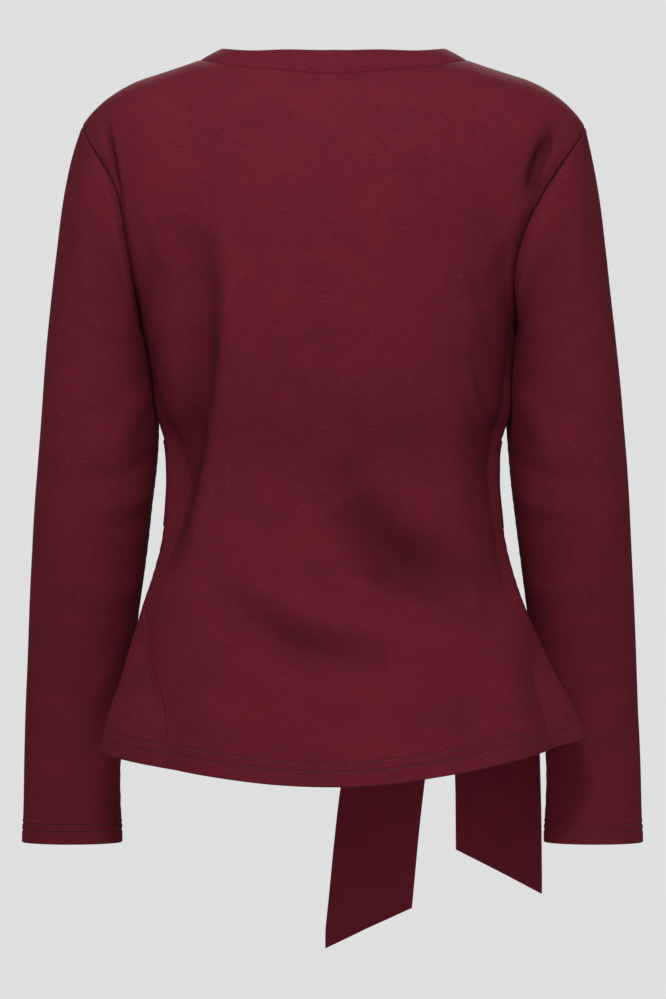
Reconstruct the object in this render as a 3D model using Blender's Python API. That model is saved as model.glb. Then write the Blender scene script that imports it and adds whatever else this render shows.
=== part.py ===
"""Long-sleeved jersey top in its worn, hollow form, with a crew neckband and a tie knotted at the front waist.

Metres, +Z up. The wearer faces -Y and the wearer's left is +X. The origin lies midway between the two high
shoulder points. Each piece of cloth is a sheet of rows and columns of points on its outer face, with the
inner face a cloth's thickness below it.
"""

import math
from types import SimpleNamespace

import bmesh
import bpy
import numpy as np

# Cloth
CLOTH = 0.0015
DOUBLED_CLOTH = 0.0022
SEAM_GAP = 0.0003
ARMHOLE_GAP = 0.00045
# How nearly the normals on the two sides of a seam agree, at the least, for one normal to serve both
DEEP_CREASE = 0.8
DEEP_RIDGE = 0.4

# How finely the pieces are divided
COLUMNS = 28
NECK_COLUMNS = 16
BODY_ROWS = 17
YOKE_ROWS = 11
SLEEVE_ROWS = 19
BAND_ROWS = 2
TIE_LEFT_COLUMNS = 18
TIE_RIGHT_COLUMNS = 5
TIE_ROWS = 6
TAIL_COLUMNS = 8
TAIL_ROWS = 16
FOLD_STEPS = 24

# Neck and shoulders
NECK_HALF_WIDTH = 0.1095
NECK_BACK_DEPTH = 0.068
NECK_FRONT_DEPTH = 0.096
# The neckline seen from above: 1 is an ellipse, and less is squarer
NECK_BACK_ROUNDNESS = 1.0
NECK_FRONT_ROUNDNESS = 0.6
NECKBAND_WIDTH = 0.0203
NECKBAND_RISE_AT_SIDE = 0.009
NECKBAND_RISE_AT_CENTRE = 0.0187
SHOULDER_TIP = (0.206, -0.054)

# Armholes
UNDERARM_HEIGHT = -0.215
ARMHOLE_HALF_DEPTH = 0.066
YOKE_RISE_POWER = 1.6
YOKE_TURN_POWER = 3.0
YOKE_CHANGE = 0.5

# Hem: its height at the two flared corners, the centre back and the centre front
HEM_CORNER_LEFT = -0.5627
HEM_CORNER_RIGHT = -0.5524
HEM_BACK = -0.586
HEM_FRONT = -0.577
HEM_POWER = 1.15
BODY_SQUARENESS = 2.3
SEAM_CROWDING = 0.35

# The flared corner of the hem stands out as a flute, in degrees from the wearer's side towards the back
FLUTE_RIDGE_LEFT = 7.0
FLUTE_RIDGE_RIGHT = 4.0
FLUTE_WIDTH_FRONT = 10.0
FLUTE_WIDTH_LEAST = 5.0
FLUTE_SOFTNESS = 0.14
FLUTE_SHARPNESS = 1.2

# In front of each flute the body is nipped in beside the hanging sleeve
NIP_ANGLE = -17.0
NIP_HALF_WIDTH = 13.0

# Waist tie: where each side starts at its side seam and ends at the knot, in degrees round the body, and how
# it is gathered into the knot
TIE_WIDTH = 0.071
TIE_SEAM_HEIGHT = -0.346
TIE_LEFT_SPAN = (-3.0, -131.5)
TIE_RIGHT_SPAN = (-177.0, -158.0)
TIE_CLEARANCE = 0.0012
TIE_FLAT_SHARE = 0.15
TIE_HALF_WIDTH_AT_KNOT = 0.012
GATHER_HEIGHT = 0.003
GATHER_PLEATS = 2.5
KNOT_ANGLE = -142.0
KNOT_HEIGHT = -0.371
KNOT_SIZE = (0.044, 0.024, 0.044)
KNOT_CLEARANCE = 0.0015
KNOT_SQUARENESS = 4
KNOT_SAG = 0.06
KNOT_LOBES = 3

# Hanging ends of the tie: their tops, the lowest and highest point of each slanted end, and how far each end
# turns towards the side
TAIL_CLEARANCE = 0.003
TAIL_TOP = -0.3927
TAIL_LONG_TIP, TAIL_LONG_CORNER = -0.743, -0.708
TAIL_SHORT_TIP, TAIL_SHORT_CORNER = -0.692, -0.657
TAIL_LONG_TILT, TAIL_SHORT_TILT = -0.06, -0.34
TAIL_GATHER_SHARE = 0.5

# Folds fade out towards their two ends and towards the side seams
FOLD_END = 0.1
FOLD_FADE_START = 0.86

CLOTH_ROUGHNESS = 0.8
SHARP_ANGLE = 50.0

MAROON = (0.102, 0.013, 0.020)
MAROON_DARK = (0.085, 0.011, 0.017)


def smooth_curve(keys, values):
    """A smooth curve through values at rising keys, level past both ends."""
    slopes = np.gradient(values, keys)

    def read(at):
        at = np.clip(at, keys[0], keys[-1])
        i = np.clip(np.searchsorted(keys, at) - 1, 0, len(keys) - 2)
        width = keys[i + 1] - keys[i]
        f = (at - keys[i]) / width
        rise = values[i] + (values[i + 1] - values[i]) * f * f * (3 - 2 * f)
        return rise + width * f * (1 - f) * (slopes[i] * (1 - f) - slopes[i + 1] * f)

    return read


def sections(columns, rows):
    """Smooth curves through a table, one for each named column, read by the first column."""
    names = columns.split()
    values = np.array(rows, dtype=float).T
    curves = (smooth_curve(values[0], value) for value in values[1:])
    return SimpleNamespace(**dict(zip(names[1:], curves)))


# The body below the underarms: half-widths, depths from the middle, the side seams' angles towards the back
# in degrees, how far the flared corners stand out, and how far the body is nipped in before them
BODY = sections(
    "height  left    right   back    front   seam_left seam_right flute_left flute_right nip_left nip_right",
    [
        (-0.590, 0.1670, 0.1940, 0.1250, 0.1210, 33.0, 15.0, 0.0235, 0.0160, 0.005, 0.019),
        (-0.562, 0.1670, 0.1890, 0.1195, 0.1190, 31.0, 15.0, 0.0230, 0.0170, 0.004, 0.019),
        (-0.534, 0.1660, 0.1790, 0.1140, 0.1170, 27.0, 14.0, 0.0190, 0.0200, 0.003, 0.014),
        (-0.504, 0.1615, 0.1700, 0.1070, 0.1140, 18.0, 12.0, 0.0130, 0.0135, 0.002, 0.008),
        (-0.475, 0.1580, 0.1660, 0.1000, 0.1105, 12.0, 8.0, 0.0080, 0.0040, 0.001, 0.006),
        (-0.447, 0.1545, 0.1560, 0.0930, 0.1070, 6.0, 4.0, 0.0030, 0.0010, 0.0, 0.001),
        (-0.418, 0.1470, 0.1470, 0.0860, 0.1030, 0.0, 0.0, 0.0, 0.0, 0.0, 0.0),
        (-0.395, 0.1420, 0.1420, 0.0815, 0.1005, 0.0, 0.0, 0.0, 0.0, 0.0, 0.0),
        (-0.360, 0.1385, 0.1380, 0.0775, 0.0980, 0.0, 0.0, 0.0, 0.0, 0.0, 0.0),
        (-0.338, 0.1378, 0.1368, 0.0785, 0.1000, 0.0, 0.0, 0.0, 0.0, 0.0, 0.0),
        (-0.310, 0.1400, 0.1390, 0.0850, 0.1065, 0.0, 0.0, 0.0, 0.0, 0.0, 0.0),
        (-0.293, 0.1448, 0.1448, 0.0905, 0.1120, 0.0, 0.0, 0.0, 0.0, 0.0035, 0.0035),
        (-0.255, 0.1505, 0.1470, 0.1000, 0.1205, 0.0, 0.0, 0.0, 0.0, 0.0040, 0.0040),
        (-0.215, 0.1575, 0.1505, 0.1050, 0.1240, 0.0, 0.0, 0.0, 0.0, 0.0, 0.0),
    ],
)

# The crown of the shoulders: the shoulder seam and, inside the neck, the line that would carry on from it;
# the surface falls away from it more sharply the higher its roundness
CROWN = sections(
    "across  height   round_back round_front",
    [
        (0.0000, 0.0090, 4.3, 1.80),
        (0.0500, 0.0088, 4.0, 1.85),
        (0.0900, 0.0052, 3.1, 2.10),
        (0.1095, 0.0, 2.9, 2.40),
        (0.1210, -0.0040, 3.0, 2.60),
        (0.1420, -0.0110, 3.3, 3.20),
        (0.1615, -0.0178, 3.8, 3.80),
        (0.1770, -0.0262, 4.3, 4.30),
        (0.1930, -0.0385, 4.8, 4.80),
        (0.2007, -0.0467, 5.0, 5.00),
        (0.2060, -0.0540, 5.0, 5.00),
    ],
)

# The armhole seams, from the underarm to the shoulder point
ARMHOLE = sections(
    "height  left    right",
    [
        (-0.215, 0.1575, 0.1505),
        (-0.205, 0.1550, 0.1480),
        (-0.190, 0.1535, 0.1470),
        (-0.170, 0.1540, 0.1485),
        (-0.150, 0.1575, 0.1530),
        (-0.130, 0.1635, 0.1600),
        (-0.113, 0.1715, 0.1690),
        (-0.096, 0.1820, 0.1800),
        (-0.079, 0.1930, 0.1920),
        (-0.066, 0.2005, 0.2005),
        (-0.054, 0.2060, 0.2060),
    ],
)

# The sleeves from the armhole (0) to the cuff (1): the outermost and innermost points and the half depth; the
# right sleeve lies closer to the body, with its own innermost line
SLEEVE = sections(
    "along  out_x   out_y   out_z    in_left in_right in_y    in_z     half_y",
    [
        (0.000, 0.2065, 0.000, -0.0540, 0.1580, 0.1510, 0.000, -0.2155, 0.066),
        (0.040, 0.2130, 0.000, -0.0750, 0.1582, 0.1512, -0.010, -0.2260, 0.066),
        (0.100, 0.2200, 0.000, -0.1100, 0.1548, 0.1488, -0.022, -0.2380, 0.064),
        (0.175, 0.2262, 0.000, -0.1550, 0.1492, 0.1450, -0.028, -0.2560, 0.060),
        (0.285, 0.2335, -0.003, -0.2200, 0.1450, 0.1430, -0.030, -0.2850, 0.056),
        (0.410, 0.2400, -0.007, -0.2930, 0.1462, 0.1455, -0.027, -0.3300, 0.052),
        (0.525, 0.2452, -0.014, -0.3600, 0.1508, 0.1500, -0.026, -0.3750, 0.048),
        (0.640, 0.2497, -0.026, -0.4306, 0.1583, 0.1575, -0.033, -0.4306, 0.043),
        (0.760, 0.2538, -0.040, -0.5017, 0.1676, 0.1668, -0.043, -0.5017, 0.036),
        (0.880, 0.2567, -0.051, -0.5731, 0.1771, 0.1765, -0.053, -0.5731, 0.031),
        (1.000, 0.2588, -0.060, -0.6459, 0.1768, 0.1762, -0.060, -0.6459, 0.028),
    ],
)
SLEEVE_HEAD = 0.16

# The hanging ends of the tie: where their middles are across the body, and their half-widths
TAIL_LONG = sections(
    "height  middle   half_width",
    [
        (-0.726, -0.0292, 0.0360),
        (-0.586, -0.0443, 0.0355),
        (-0.540, -0.0520, 0.0350),
        (-0.500, -0.0610, 0.0310),
        (-0.460, -0.0710, 0.0250),
        (-0.430, -0.0820, 0.0180),
        (-0.394, -0.0940, 0.0085),
    ],
)
TAIL_SHORT = sections(
    "height  middle   half_width",
    [
        (-0.675, -0.1405, 0.0355),
        (-0.586, -0.1390, 0.0355),
        (-0.540, -0.1370, 0.0350),
        (-0.500, -0.1330, 0.0310),
        (-0.460, -0.1260, 0.0250),
        (-0.430, -0.1190, 0.0180),
        (-0.394, -0.1140, 0.0085),
    ],
)

# Main folds: a soft ridge (or a trough, where its height is below 0) through three places on a panel
FOLD_COLUMNS = "start_x start_z middle_x middle_z end_x end_z half_width height"
BACK_FOLDS = [
    (0.098, -0.150, 0.090, -0.240, 0.130, -0.385, 0.014, 0.0045),
    (0.122, -0.190, 0.116, -0.270, 0.134, -0.345, 0.012, -0.0035),
    (-0.005, -0.372, -0.065, -0.412, -0.124, -0.430, 0.016, -0.0055),
    (0.050, -0.396, -0.050, -0.432, -0.130, -0.448, 0.018, 0.0050),
    (0.046, -0.440, 0.010, -0.457, -0.025, -0.472, 0.014, -0.0025),
    (0.088, -0.480, 0.098, -0.530, 0.104, -0.580, 0.016, 0.0040),
    (-0.128, -0.480, -0.142, -0.520, -0.150, -0.575, 0.014, 0.0040),
]
FRONT_FOLDS = [
    (0.100, -0.260, 0.010, -0.310, -0.060, -0.345, 0.016, 0.0040),
    (0.112, -0.400, 0.040, -0.398, -0.030, -0.388, 0.014, 0.0040),
    (0.060, -0.560, 0.045, -0.490, 0.020, -0.430, 0.020, 0.0050),
    (0.125, -0.550, 0.115, -0.500, 0.100, -0.450, 0.014, 0.0040),
    (-0.110, -0.235, -0.108, -0.280, -0.098, -0.325, 0.014, 0.0030),
]


def unit(vectors):
    """Vectors of length one."""
    return vectors / np.maximum(np.linalg.norm(vectors, axis=-1, keepdims=True), 1e-12)


def points(x, y, z):
    """An array of points from arrays of their coordinates."""
    return np.stack(np.broadcast_arrays(x, y, z), axis=-1)


def ease(f):
    """0 to 1 with level ends."""
    f = np.clip(f, 0.0, 1.0)
    return f * f * (3 - 2 * f)


def bell(f):
    """A smooth hump, 1 in its middle."""
    return np.exp(-(f**2))


def flute(turned, ridge, seam, height):
    """How far the flared corner stands out, at an angle from the wearer's side towards the back, in degrees."""
    behind = np.maximum(seam - ridge, FLUTE_WIDTH_LEAST)
    share = np.where(turned > ridge, (turned - ridge) / behind, (ridge - turned) / FLUTE_WIDTH_FRONT)
    softened = np.sqrt(share**2 + FLUTE_SOFTNESS**2) - FLUTE_SOFTNESS
    return height * np.clip(1 - softened, 0.0, 1.0) ** FLUTE_SHARPNESS


def body_point(angle, height):
    """The body's outer face, at an angle in degrees from the wearer's left (0) round the back (90)."""
    c, s = np.cos(np.radians(angle)), np.sin(np.radians(angle))
    half_width = np.where(c > 0, BODY.left(height), BODY.right(height))
    depth = np.where(s > 0, BODY.back(height), BODY.front(height))
    power = BODY_SQUARENESS
    radius = ((np.abs(c) / half_width) ** power + (np.abs(s) / depth) ** power) ** (-1 / power)
    from_left = (angle + 180) % 360 - 180
    from_right = (360 - angle) % 360 - 180
    radius = radius + flute(from_left, FLUTE_RIDGE_LEFT, BODY.seam_left(height), BODY.flute_left(height))
    radius = radius + flute(from_right, FLUTE_RIDGE_RIGHT, BODY.seam_right(height), BODY.flute_right(height))
    radius = radius - BODY.nip_left(height) * bell((from_left - NIP_ANGLE) / NIP_HALF_WIDTH)
    radius = radius - BODY.nip_right(height) * bell((from_right - NIP_ANGLE) / NIP_HALF_WIDTH)
    return points(radius * c, radius * s, height)


def hem_height(angle):
    """The hem's height round the body."""
    c, s = np.cos(np.radians(angle)), np.sin(np.radians(angle))
    corner = np.where(c > 0, HEM_CORNER_LEFT, HEM_CORNER_RIGHT)
    middle = np.where(s > 0, HEM_BACK, HEM_FRONT)
    return corner + (middle - corner) * np.abs(s) ** HEM_POWER


def seam_to_seam(across, height, face):
    """The angle on the body of a column from -1 at the right side seam to 1 at the left one."""
    spread = (1 - SEAM_CROWDING) * across + SEAM_CROWDING * np.sin(across * math.pi / 2)
    left, right = BODY.seam_left(height), BODY.seam_right(height)
    if face > 0:
        return (180 - right + left) / 2 - spread * (180 - right - left) / 2
    return (left - 180 - right) / 2 + spread * (180 + right + left) / 2


def lower_panel(face):
    """The panel from the hem to the underarms; face is 1 for the back and -1 for the front."""
    across, up = np.meshgrid(np.linspace(-1, 1, COLUMNS + 1), np.linspace(0, 1, BODY_ROWS + 1))
    level = HEM_BACK + (UNDERARM_HEIGHT - HEM_BACK) * up
    angle = seam_to_seam(across, level, face)
    hem = hem_height(angle)
    return body_point(angle, hem + (UNDERARM_HEIGHT - hem) * up)


def top_edge(across, face, full_depth):
    """The neckline out to the neck corner, then the shoulder seam: their x and z; across runs from 0 to 1.

    The neckline is a half oval seen from above, laid on the surface that falls away from the crown.
    """
    neck_share = NECK_COLUMNS / COLUMNS
    turn = np.clip(across / neck_share, 0, 1) * math.pi / 2
    outward = np.clip((across - neck_share) / (1 - neck_share), 0, 1)
    x = NECK_HALF_WIDTH * np.sin(turn) + (SHOULDER_TIP[0] - NECK_HALF_WIDTH) * outward
    depth = NECK_BACK_DEPTH if face > 0 else NECK_FRONT_DEPTH
    y = depth * np.cos(turn) ** (NECK_BACK_ROUNDNESS if face > 0 else NECK_FRONT_ROUNDNESS)
    depth_here = full_depth * (1 - (x / SHOULDER_TIP[0]) ** YOKE_TURN_POWER)
    fallen = np.where(outward > 0, 0.0, y / np.maximum(depth_here, 1e-6))
    climbed = (1 - fallen**2) ** (1 / crown_roundness(x, face))
    return x, UNDERARM_HEIGHT + (CROWN.height(x) - UNDERARM_HEIGHT) * climbed


def crown_roundness(x, face):
    """How sharply the back or front falls away from the crown."""
    return CROWN.round_back(x) if face > 0 else CROWN.round_front(x)


def upper_panel(face):
    """The panel from the underarms to the shoulder seams and the neckline."""
    across, up = np.meshgrid(np.linspace(-1, 1, COLUMNS + 1), np.linspace(0, 1, YOKE_ROWS + 1))
    side, out = np.sign(across), np.abs(across)
    low = body_point(seam_to_seam(across, UNDERARM_HEIGHT, face), UNDERARM_HEIGHT)
    low_x, full_depth = np.abs(low[..., 0]), np.abs(low[..., 1]).max()
    top_x, top_z = top_edge(out, face, full_depth)
    centre_z = top_edge(np.zeros(1), face, full_depth)[1]

    # The armhole edge runs round as a half ellipse seen from the side
    armhole_z = UNDERARM_HEIGHT + (SHOULDER_TIP[1] - UNDERARM_HEIGHT) * (1 - np.cos(up * math.pi)) / 2
    armhole_x = np.where(across > 0, ARMHOLE.left(armhole_z), ARMHOLE.right(armhole_z))
    armhole_y = ARMHOLE_HALF_DEPTH * np.sin(up * math.pi)

    underarm_x = np.where(across > 0, low_x[0, -1], low_x[0, 0])
    straight_x = underarm_x + (SHOULDER_TIP[0] - underarm_x) * up
    x = low_x + (top_x - low_x) * up + out * (armhole_x - straight_x)
    rise = 1 - (1 - up) ** YOKE_RISE_POWER
    z = (1 - out) * (UNDERARM_HEIGHT + (centre_z - UNDERARM_HEIGHT) * rise) + out * armhole_z
    z = z + ease(up) * (top_z - (1 - out) * centre_z - out * SHOULDER_TIP[1])

    climbed = np.clip((z - UNDERARM_HEIGHT) / (CROWN.height(x) - UNDERARM_HEIGHT), 0, 1)
    middle_y = full_depth * np.sqrt(np.maximum(1 - climbed ** crown_roundness(x, face), 0))
    power = BODY_SQUARENESS
    side_x = armhole_x / (1 - (armhole_y / full_depth) ** power) ** (1 / power)
    as_below = middle_y * np.maximum(1 - (x / side_x) ** power, 0) ** (1 / power)
    share = np.clip(x / armhole_x, 0, 1)
    as_armhole = middle_y - (middle_y - armhole_y) * share**YOKE_TURN_POWER
    y = as_below + (as_armhole - as_below) * ease(up / YOKE_CHANGE)
    return points(side * x, face * y, z)


def fold_relief(places, folds):
    """How far the folds lift a panel at places given by their x and z."""
    lift = np.zeros(places.shape[:-1])
    flat = places[..., [0, 2]]
    for fold in folds:
        value = dict(zip(FOLD_COLUMNS.split(), fold))
        f = np.linspace(0, 1, FOLD_STEPS + 1)[:, None]
        start = np.array([value["start_x"], value["start_z"]])
        middle = np.array([value["middle_x"], value["middle_z"]])
        end = np.array([value["end_x"], value["end_z"]])
        line = start * (1 - f) * (1 - 2 * f) + middle * 4 * f * (1 - f) + end * f * (2 * f - 1)
        distance = np.linalg.norm(flat[..., None, :] - line, axis=-1)
        nearest = distance.argmin(axis=-1)
        taper = np.sin(math.pi * (FOLD_END + (1 - 2 * FOLD_END) * f[nearest, 0]))
        lift = lift + value["height"] * taper * bell(distance.min(axis=-1) / value["half_width"])
    return lift


def outward_normals(outer, sign):
    """The normals of a sheet of points, from the points beside each."""
    across = np.gradient(outer, axis=1)
    along = np.gradient(outer, axis=0)
    return unit(sign * np.cross(across, along))


def ring_normals(outer, sign):
    """The normals of a tube of points, whose last column is its first."""
    around = np.concatenate([outer[:, -2:-1], outer, outer[:, 1:2]], axis=1)
    return outward_normals(around, sign)[:, 1:-1]


def panel(face, folds):
    """The whole outer face of the back or front panel, with its folds."""
    outer = np.concatenate([lower_panel(face)[:-1], upper_panel(face)])
    relief = fold_relief(outer, folds)
    across = np.abs(np.linspace(-1, 1, COLUMNS + 1))
    relief = relief * (1 - ease((across - FOLD_FADE_START) / (1 - FOLD_FADE_START)))
    return outer + outward_normals(outer, -face) * relief[..., None]


def sleeve(armhole, innermost):
    """A sleeve's outer face on the left side, from its armhole seam to the cuff."""
    along, turn = np.meshgrid(
        np.linspace(0, 1, SLEEVE_ROWS + 1), np.linspace(0, 2 * math.pi, 2 * YOKE_ROWS + 1), indexing="ij"
    )
    reach = -np.cos(turn)
    outside = points(SLEEVE.out_x(along), SLEEVE.out_y(along), SLEEVE.out_z(along))
    inside = points(innermost(along), SLEEVE.in_y(along), SLEEVE.in_z(along))
    form = (outside + inside) / 2 + (outside - inside) / 2 * reach[..., None]
    form[..., 1] += SLEEVE.half_y(along) * np.sin(turn)
    fade = (1 - np.clip(along / SLEEVE_HEAD, 0, 1)) ** 2
    return form + (armhole - form[0]) * fade[..., None]


def neckband(neckline):
    """The neckband's outer face, from its seam on the neckline to its top edge."""
    centre_y = (NECK_BACK_DEPTH - NECK_FRONT_DEPTH) / 2
    spoke = (neckline - np.array([0.0, centre_y, 0.0])) * np.array([1.0, 1.0, 0.0])
    inward = -unit(spoke)
    facing = (np.abs(inward[:, 1:2])) ** 2
    rise = NECKBAND_RISE_AT_SIDE + (NECKBAND_RISE_AT_CENTRE - NECKBAND_RISE_AT_SIDE) * facing
    reach = np.sqrt(NECKBAND_WIDTH**2 - rise**2)
    step = inward * reach + np.array([0.0, 0.0, 1.0]) * rise
    return np.stack([neckline + step * f for f in np.linspace(0, 1, BAND_ROWS + 1)])


def tie_band(span, columns):
    """The outer face of a tie from its side seam to the knot, on the front panel moved out."""
    first_angle, last_angle = span
    f, up = np.meshgrid(np.linspace(0, 1, columns + 1), np.linspace(-1, 1, TIE_ROWS + 1))
    narrowing = ease((f - TIE_FLAT_SHARE) / (1 - TIE_FLAT_SHARE))
    half = TIE_WIDTH / 2 * (1 - narrowing) + TIE_HALF_WIDTH_AT_KNOT * narrowing
    middle = TIE_SEAM_HEIGHT + (KNOT_HEIGHT - TIE_SEAM_HEIGHT) * ease(f)
    height = middle + half * up
    angle = first_angle + (last_angle - first_angle) * f
    places = body_point(angle, height)
    sign = 1 if last_angle < first_angle else -1
    normals = outward_normals(places, -sign)
    gather = GATHER_HEIGHT * narrowing * (1 + np.cos(up * GATHER_PLEATS * math.pi)) / 2
    relief = np.maximum(fold_relief(places, FRONT_FOLDS), 0)
    return places + normals * (TIE_CLEARANCE + DOUBLED_CLOTH + gather + relief)[..., None], normals


def front_depth(x, height):
    """How far the front panel lies in front of the middle, at a place across and a height."""
    half_width = np.where(x > 0, BODY.left(height), BODY.right(height))
    share = np.minimum(np.abs(x) / half_width, 1.0)
    return BODY.front(height) * (1 - share**BODY_SQUARENESS) ** (1 / BODY_SQUARENESS)


def tie_tail(form, tip, corner, tip_side, tilt):
    """The outer face of a hanging tie end: held clear of the front panel, then straight down past the hem."""
    across, down = np.meshgrid(np.linspace(-1, 1, TAIL_COLUMNS + 1), np.linspace(0, 1, TAIL_ROWS + 1))
    end = (tip + corner) / 2 + (tip - corner) / 2 * across * tip_side
    level = TAIL_TOP + ((tip + corner) / 2 - TAIL_TOP) * down
    height = TAIL_TOP + (end - TAIL_TOP) * down
    middle, half = form.middle(level), form.half_width(level)
    x = middle + half * across
    panel_height = np.maximum(height, HEM_FRONT)
    clear = front_depth(x, panel_height) + tilt * (x - middle)
    middle_depth = clear.max(axis=1, keepdims=True) + TAIL_CLEARANCE
    gather = GATHER_HEIGHT * (1 - ease(down / TAIL_GATHER_SHARE)) * (1 - np.cos(across * 2 * math.pi)) / 2
    y = -(middle_depth - tilt * (x - middle)) - DOUBLED_CLOTH - gather
    return points(x, y, height)


def share_seam_normals(sheets):
    """Gives the points that meet at a seam one normal, so that the walls of the two pieces stay side by side.

    Where the seam lies in a deep crease each piece keeps its own, because the walls part there.
    """
    meeting = {}
    for sheet in sheets:
        last_row, last_column = sheet.outer.shape[0] - 1, sheet.outer.shape[1] - 1
        for i in range(last_row + 1):
            for j in range(last_column + 1):
                beside = (min(max(i, 1), last_row - 1), j if sheet.ring else min(max(j, 1), last_column - 1))
                if beside != (i, j):
                    inward = unit(sheet.outer[beside] - sheet.outer[i, j])
                    place = tuple(np.rint(sheet.outer[i, j] * 1e5).astype(int))
                    meeting.setdefault(place, []).append((sheet, i, j, inward))
    for members in meeting.values():
        together = sum(sheet.normals[i, j] for sheet, i, j, inward in members)
        agreement = np.linalg.norm(together) / len(members)
        crease = together @ sum(inward for sheet, i, j, inward in members)
        if len(members) > 1 and agreement > (DEEP_CREASE if crease > 0 else DEEP_RIDGE):
            if abs(members[0][0].outer[members[0][1:3]][1]) < 1e-6:
                together[1] = 0
            for sheet, i, j, inward in members:
                sheet.normals[i, j] = unit(together)


def trim_edge(outer, edge, inner, gap):
    """Draws an edge's points back towards the points beside it, to leave a seam's gap."""
    outer[edge] = outer[edge] + unit(outer[inner] - outer[edge]) * gap


def finish(name, colour):
    """A cloth's material."""
    material = bpy.data.materials.new(name)
    material.use_nodes = True
    shader = material.node_tree.nodes["Principled BSDF"]
    shader.inputs["Base Color"].default_value = (*colour, 1.0)
    shader.inputs["Roughness"].default_value = CLOTH_ROUGHNESS
    shader.inputs["Metallic"].default_value = 0.0
    return material


def add_object(name, bm, material):
    """A named object from a bmesh."""
    bm.normal_update()
    bmesh.ops.recalc_face_normals(bm, faces=bm.faces[:])
    mesh = bpy.data.meshes.new(name)
    bm.to_mesh(mesh)
    bm.free()
    mesh.materials.append(material)
    mesh.shade_smooth()
    mesh.set_sharp_from_angle(angle=math.radians(SHARP_ANGLE))
    item = bpy.data.objects.new(name, mesh)
    bpy.context.scene.collection.objects.link(item)


def add_cloth(name, outer, normals, thick, material, ring=False):
    """A wall of cloth between a sheet's outer points and the points a thickness below them."""
    rows, columns = outer.shape[0] - 1, outer.shape[1] - 1
    bm = bmesh.new()
    bmesh.ops.create_grid(bm, x_segments=columns, y_segments=rows, size=0.5)
    for vert in bm.verts:
        vert.co = (round((vert.co.x + 0.5) * columns), round((vert.co.y + 0.5) * rows), 0)
    raised = bmesh.ops.extrude_face_region(bm, geom=bm.faces[:])["geom"]
    for vert in (item for item in raised if isinstance(item, bmesh.types.BMVert)):
        vert.co.z = 1
    if ring:
        ends = [face for face in bm.faces if face.calc_center_median().x in (0, columns)]
        bmesh.ops.delete(bm, geom=ends, context="FACES")
    for vert in bm.verts:
        j, i, layer = (int(c) for c in vert.co)
        vert.co = outer[i, j] - normals[i, j] * thick * layer
    if ring:
        bmesh.ops.remove_doubles(bm, verts=bm.verts[:], dist=1e-6)
    add_object(name, bm, material)


def add_knot(material):
    """The knot: a plump wrap of cloth, a little squared, resting against the front panel."""
    bm = bmesh.new()
    bmesh.ops.create_icosphere(bm, subdivisions=3, radius=1.0)
    seat = body_point(np.array([KNOT_ANGLE]), np.array([KNOT_HEIGHT]))[0]
    beside = body_point(np.array([KNOT_ANGLE + 1]), np.array([KNOT_HEIGHT]))[0]
    along = unit(beside - seat)
    out = unit(np.cross(np.array([0.0, 0.0, 1.0]), along))
    out = out if out[1] < 0 else -out
    centre = seat + out * (KNOT_SIZE[1] / 2 + KNOT_CLEARANCE)
    for vert in bm.verts:
        d = np.array(vert.co)
        square = d * (np.abs(d) ** KNOT_SQUARENESS).sum() ** (-1 / KNOT_SQUARENESS)
        sag = 1 - KNOT_SAG * math.sin(KNOT_LOBES * math.atan2(square[2], square[0]))
        vert.co = (
            centre
            + along * square[0] * KNOT_SIZE[0] / 2 * sag
            + out * square[1] * KNOT_SIZE[1] / 2
            + np.array([0.0, 0.0, 1.0]) * square[2] * KNOT_SIZE[2] / 2 * sag
        )
    add_object("tie_knot", bm, material)


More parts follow.
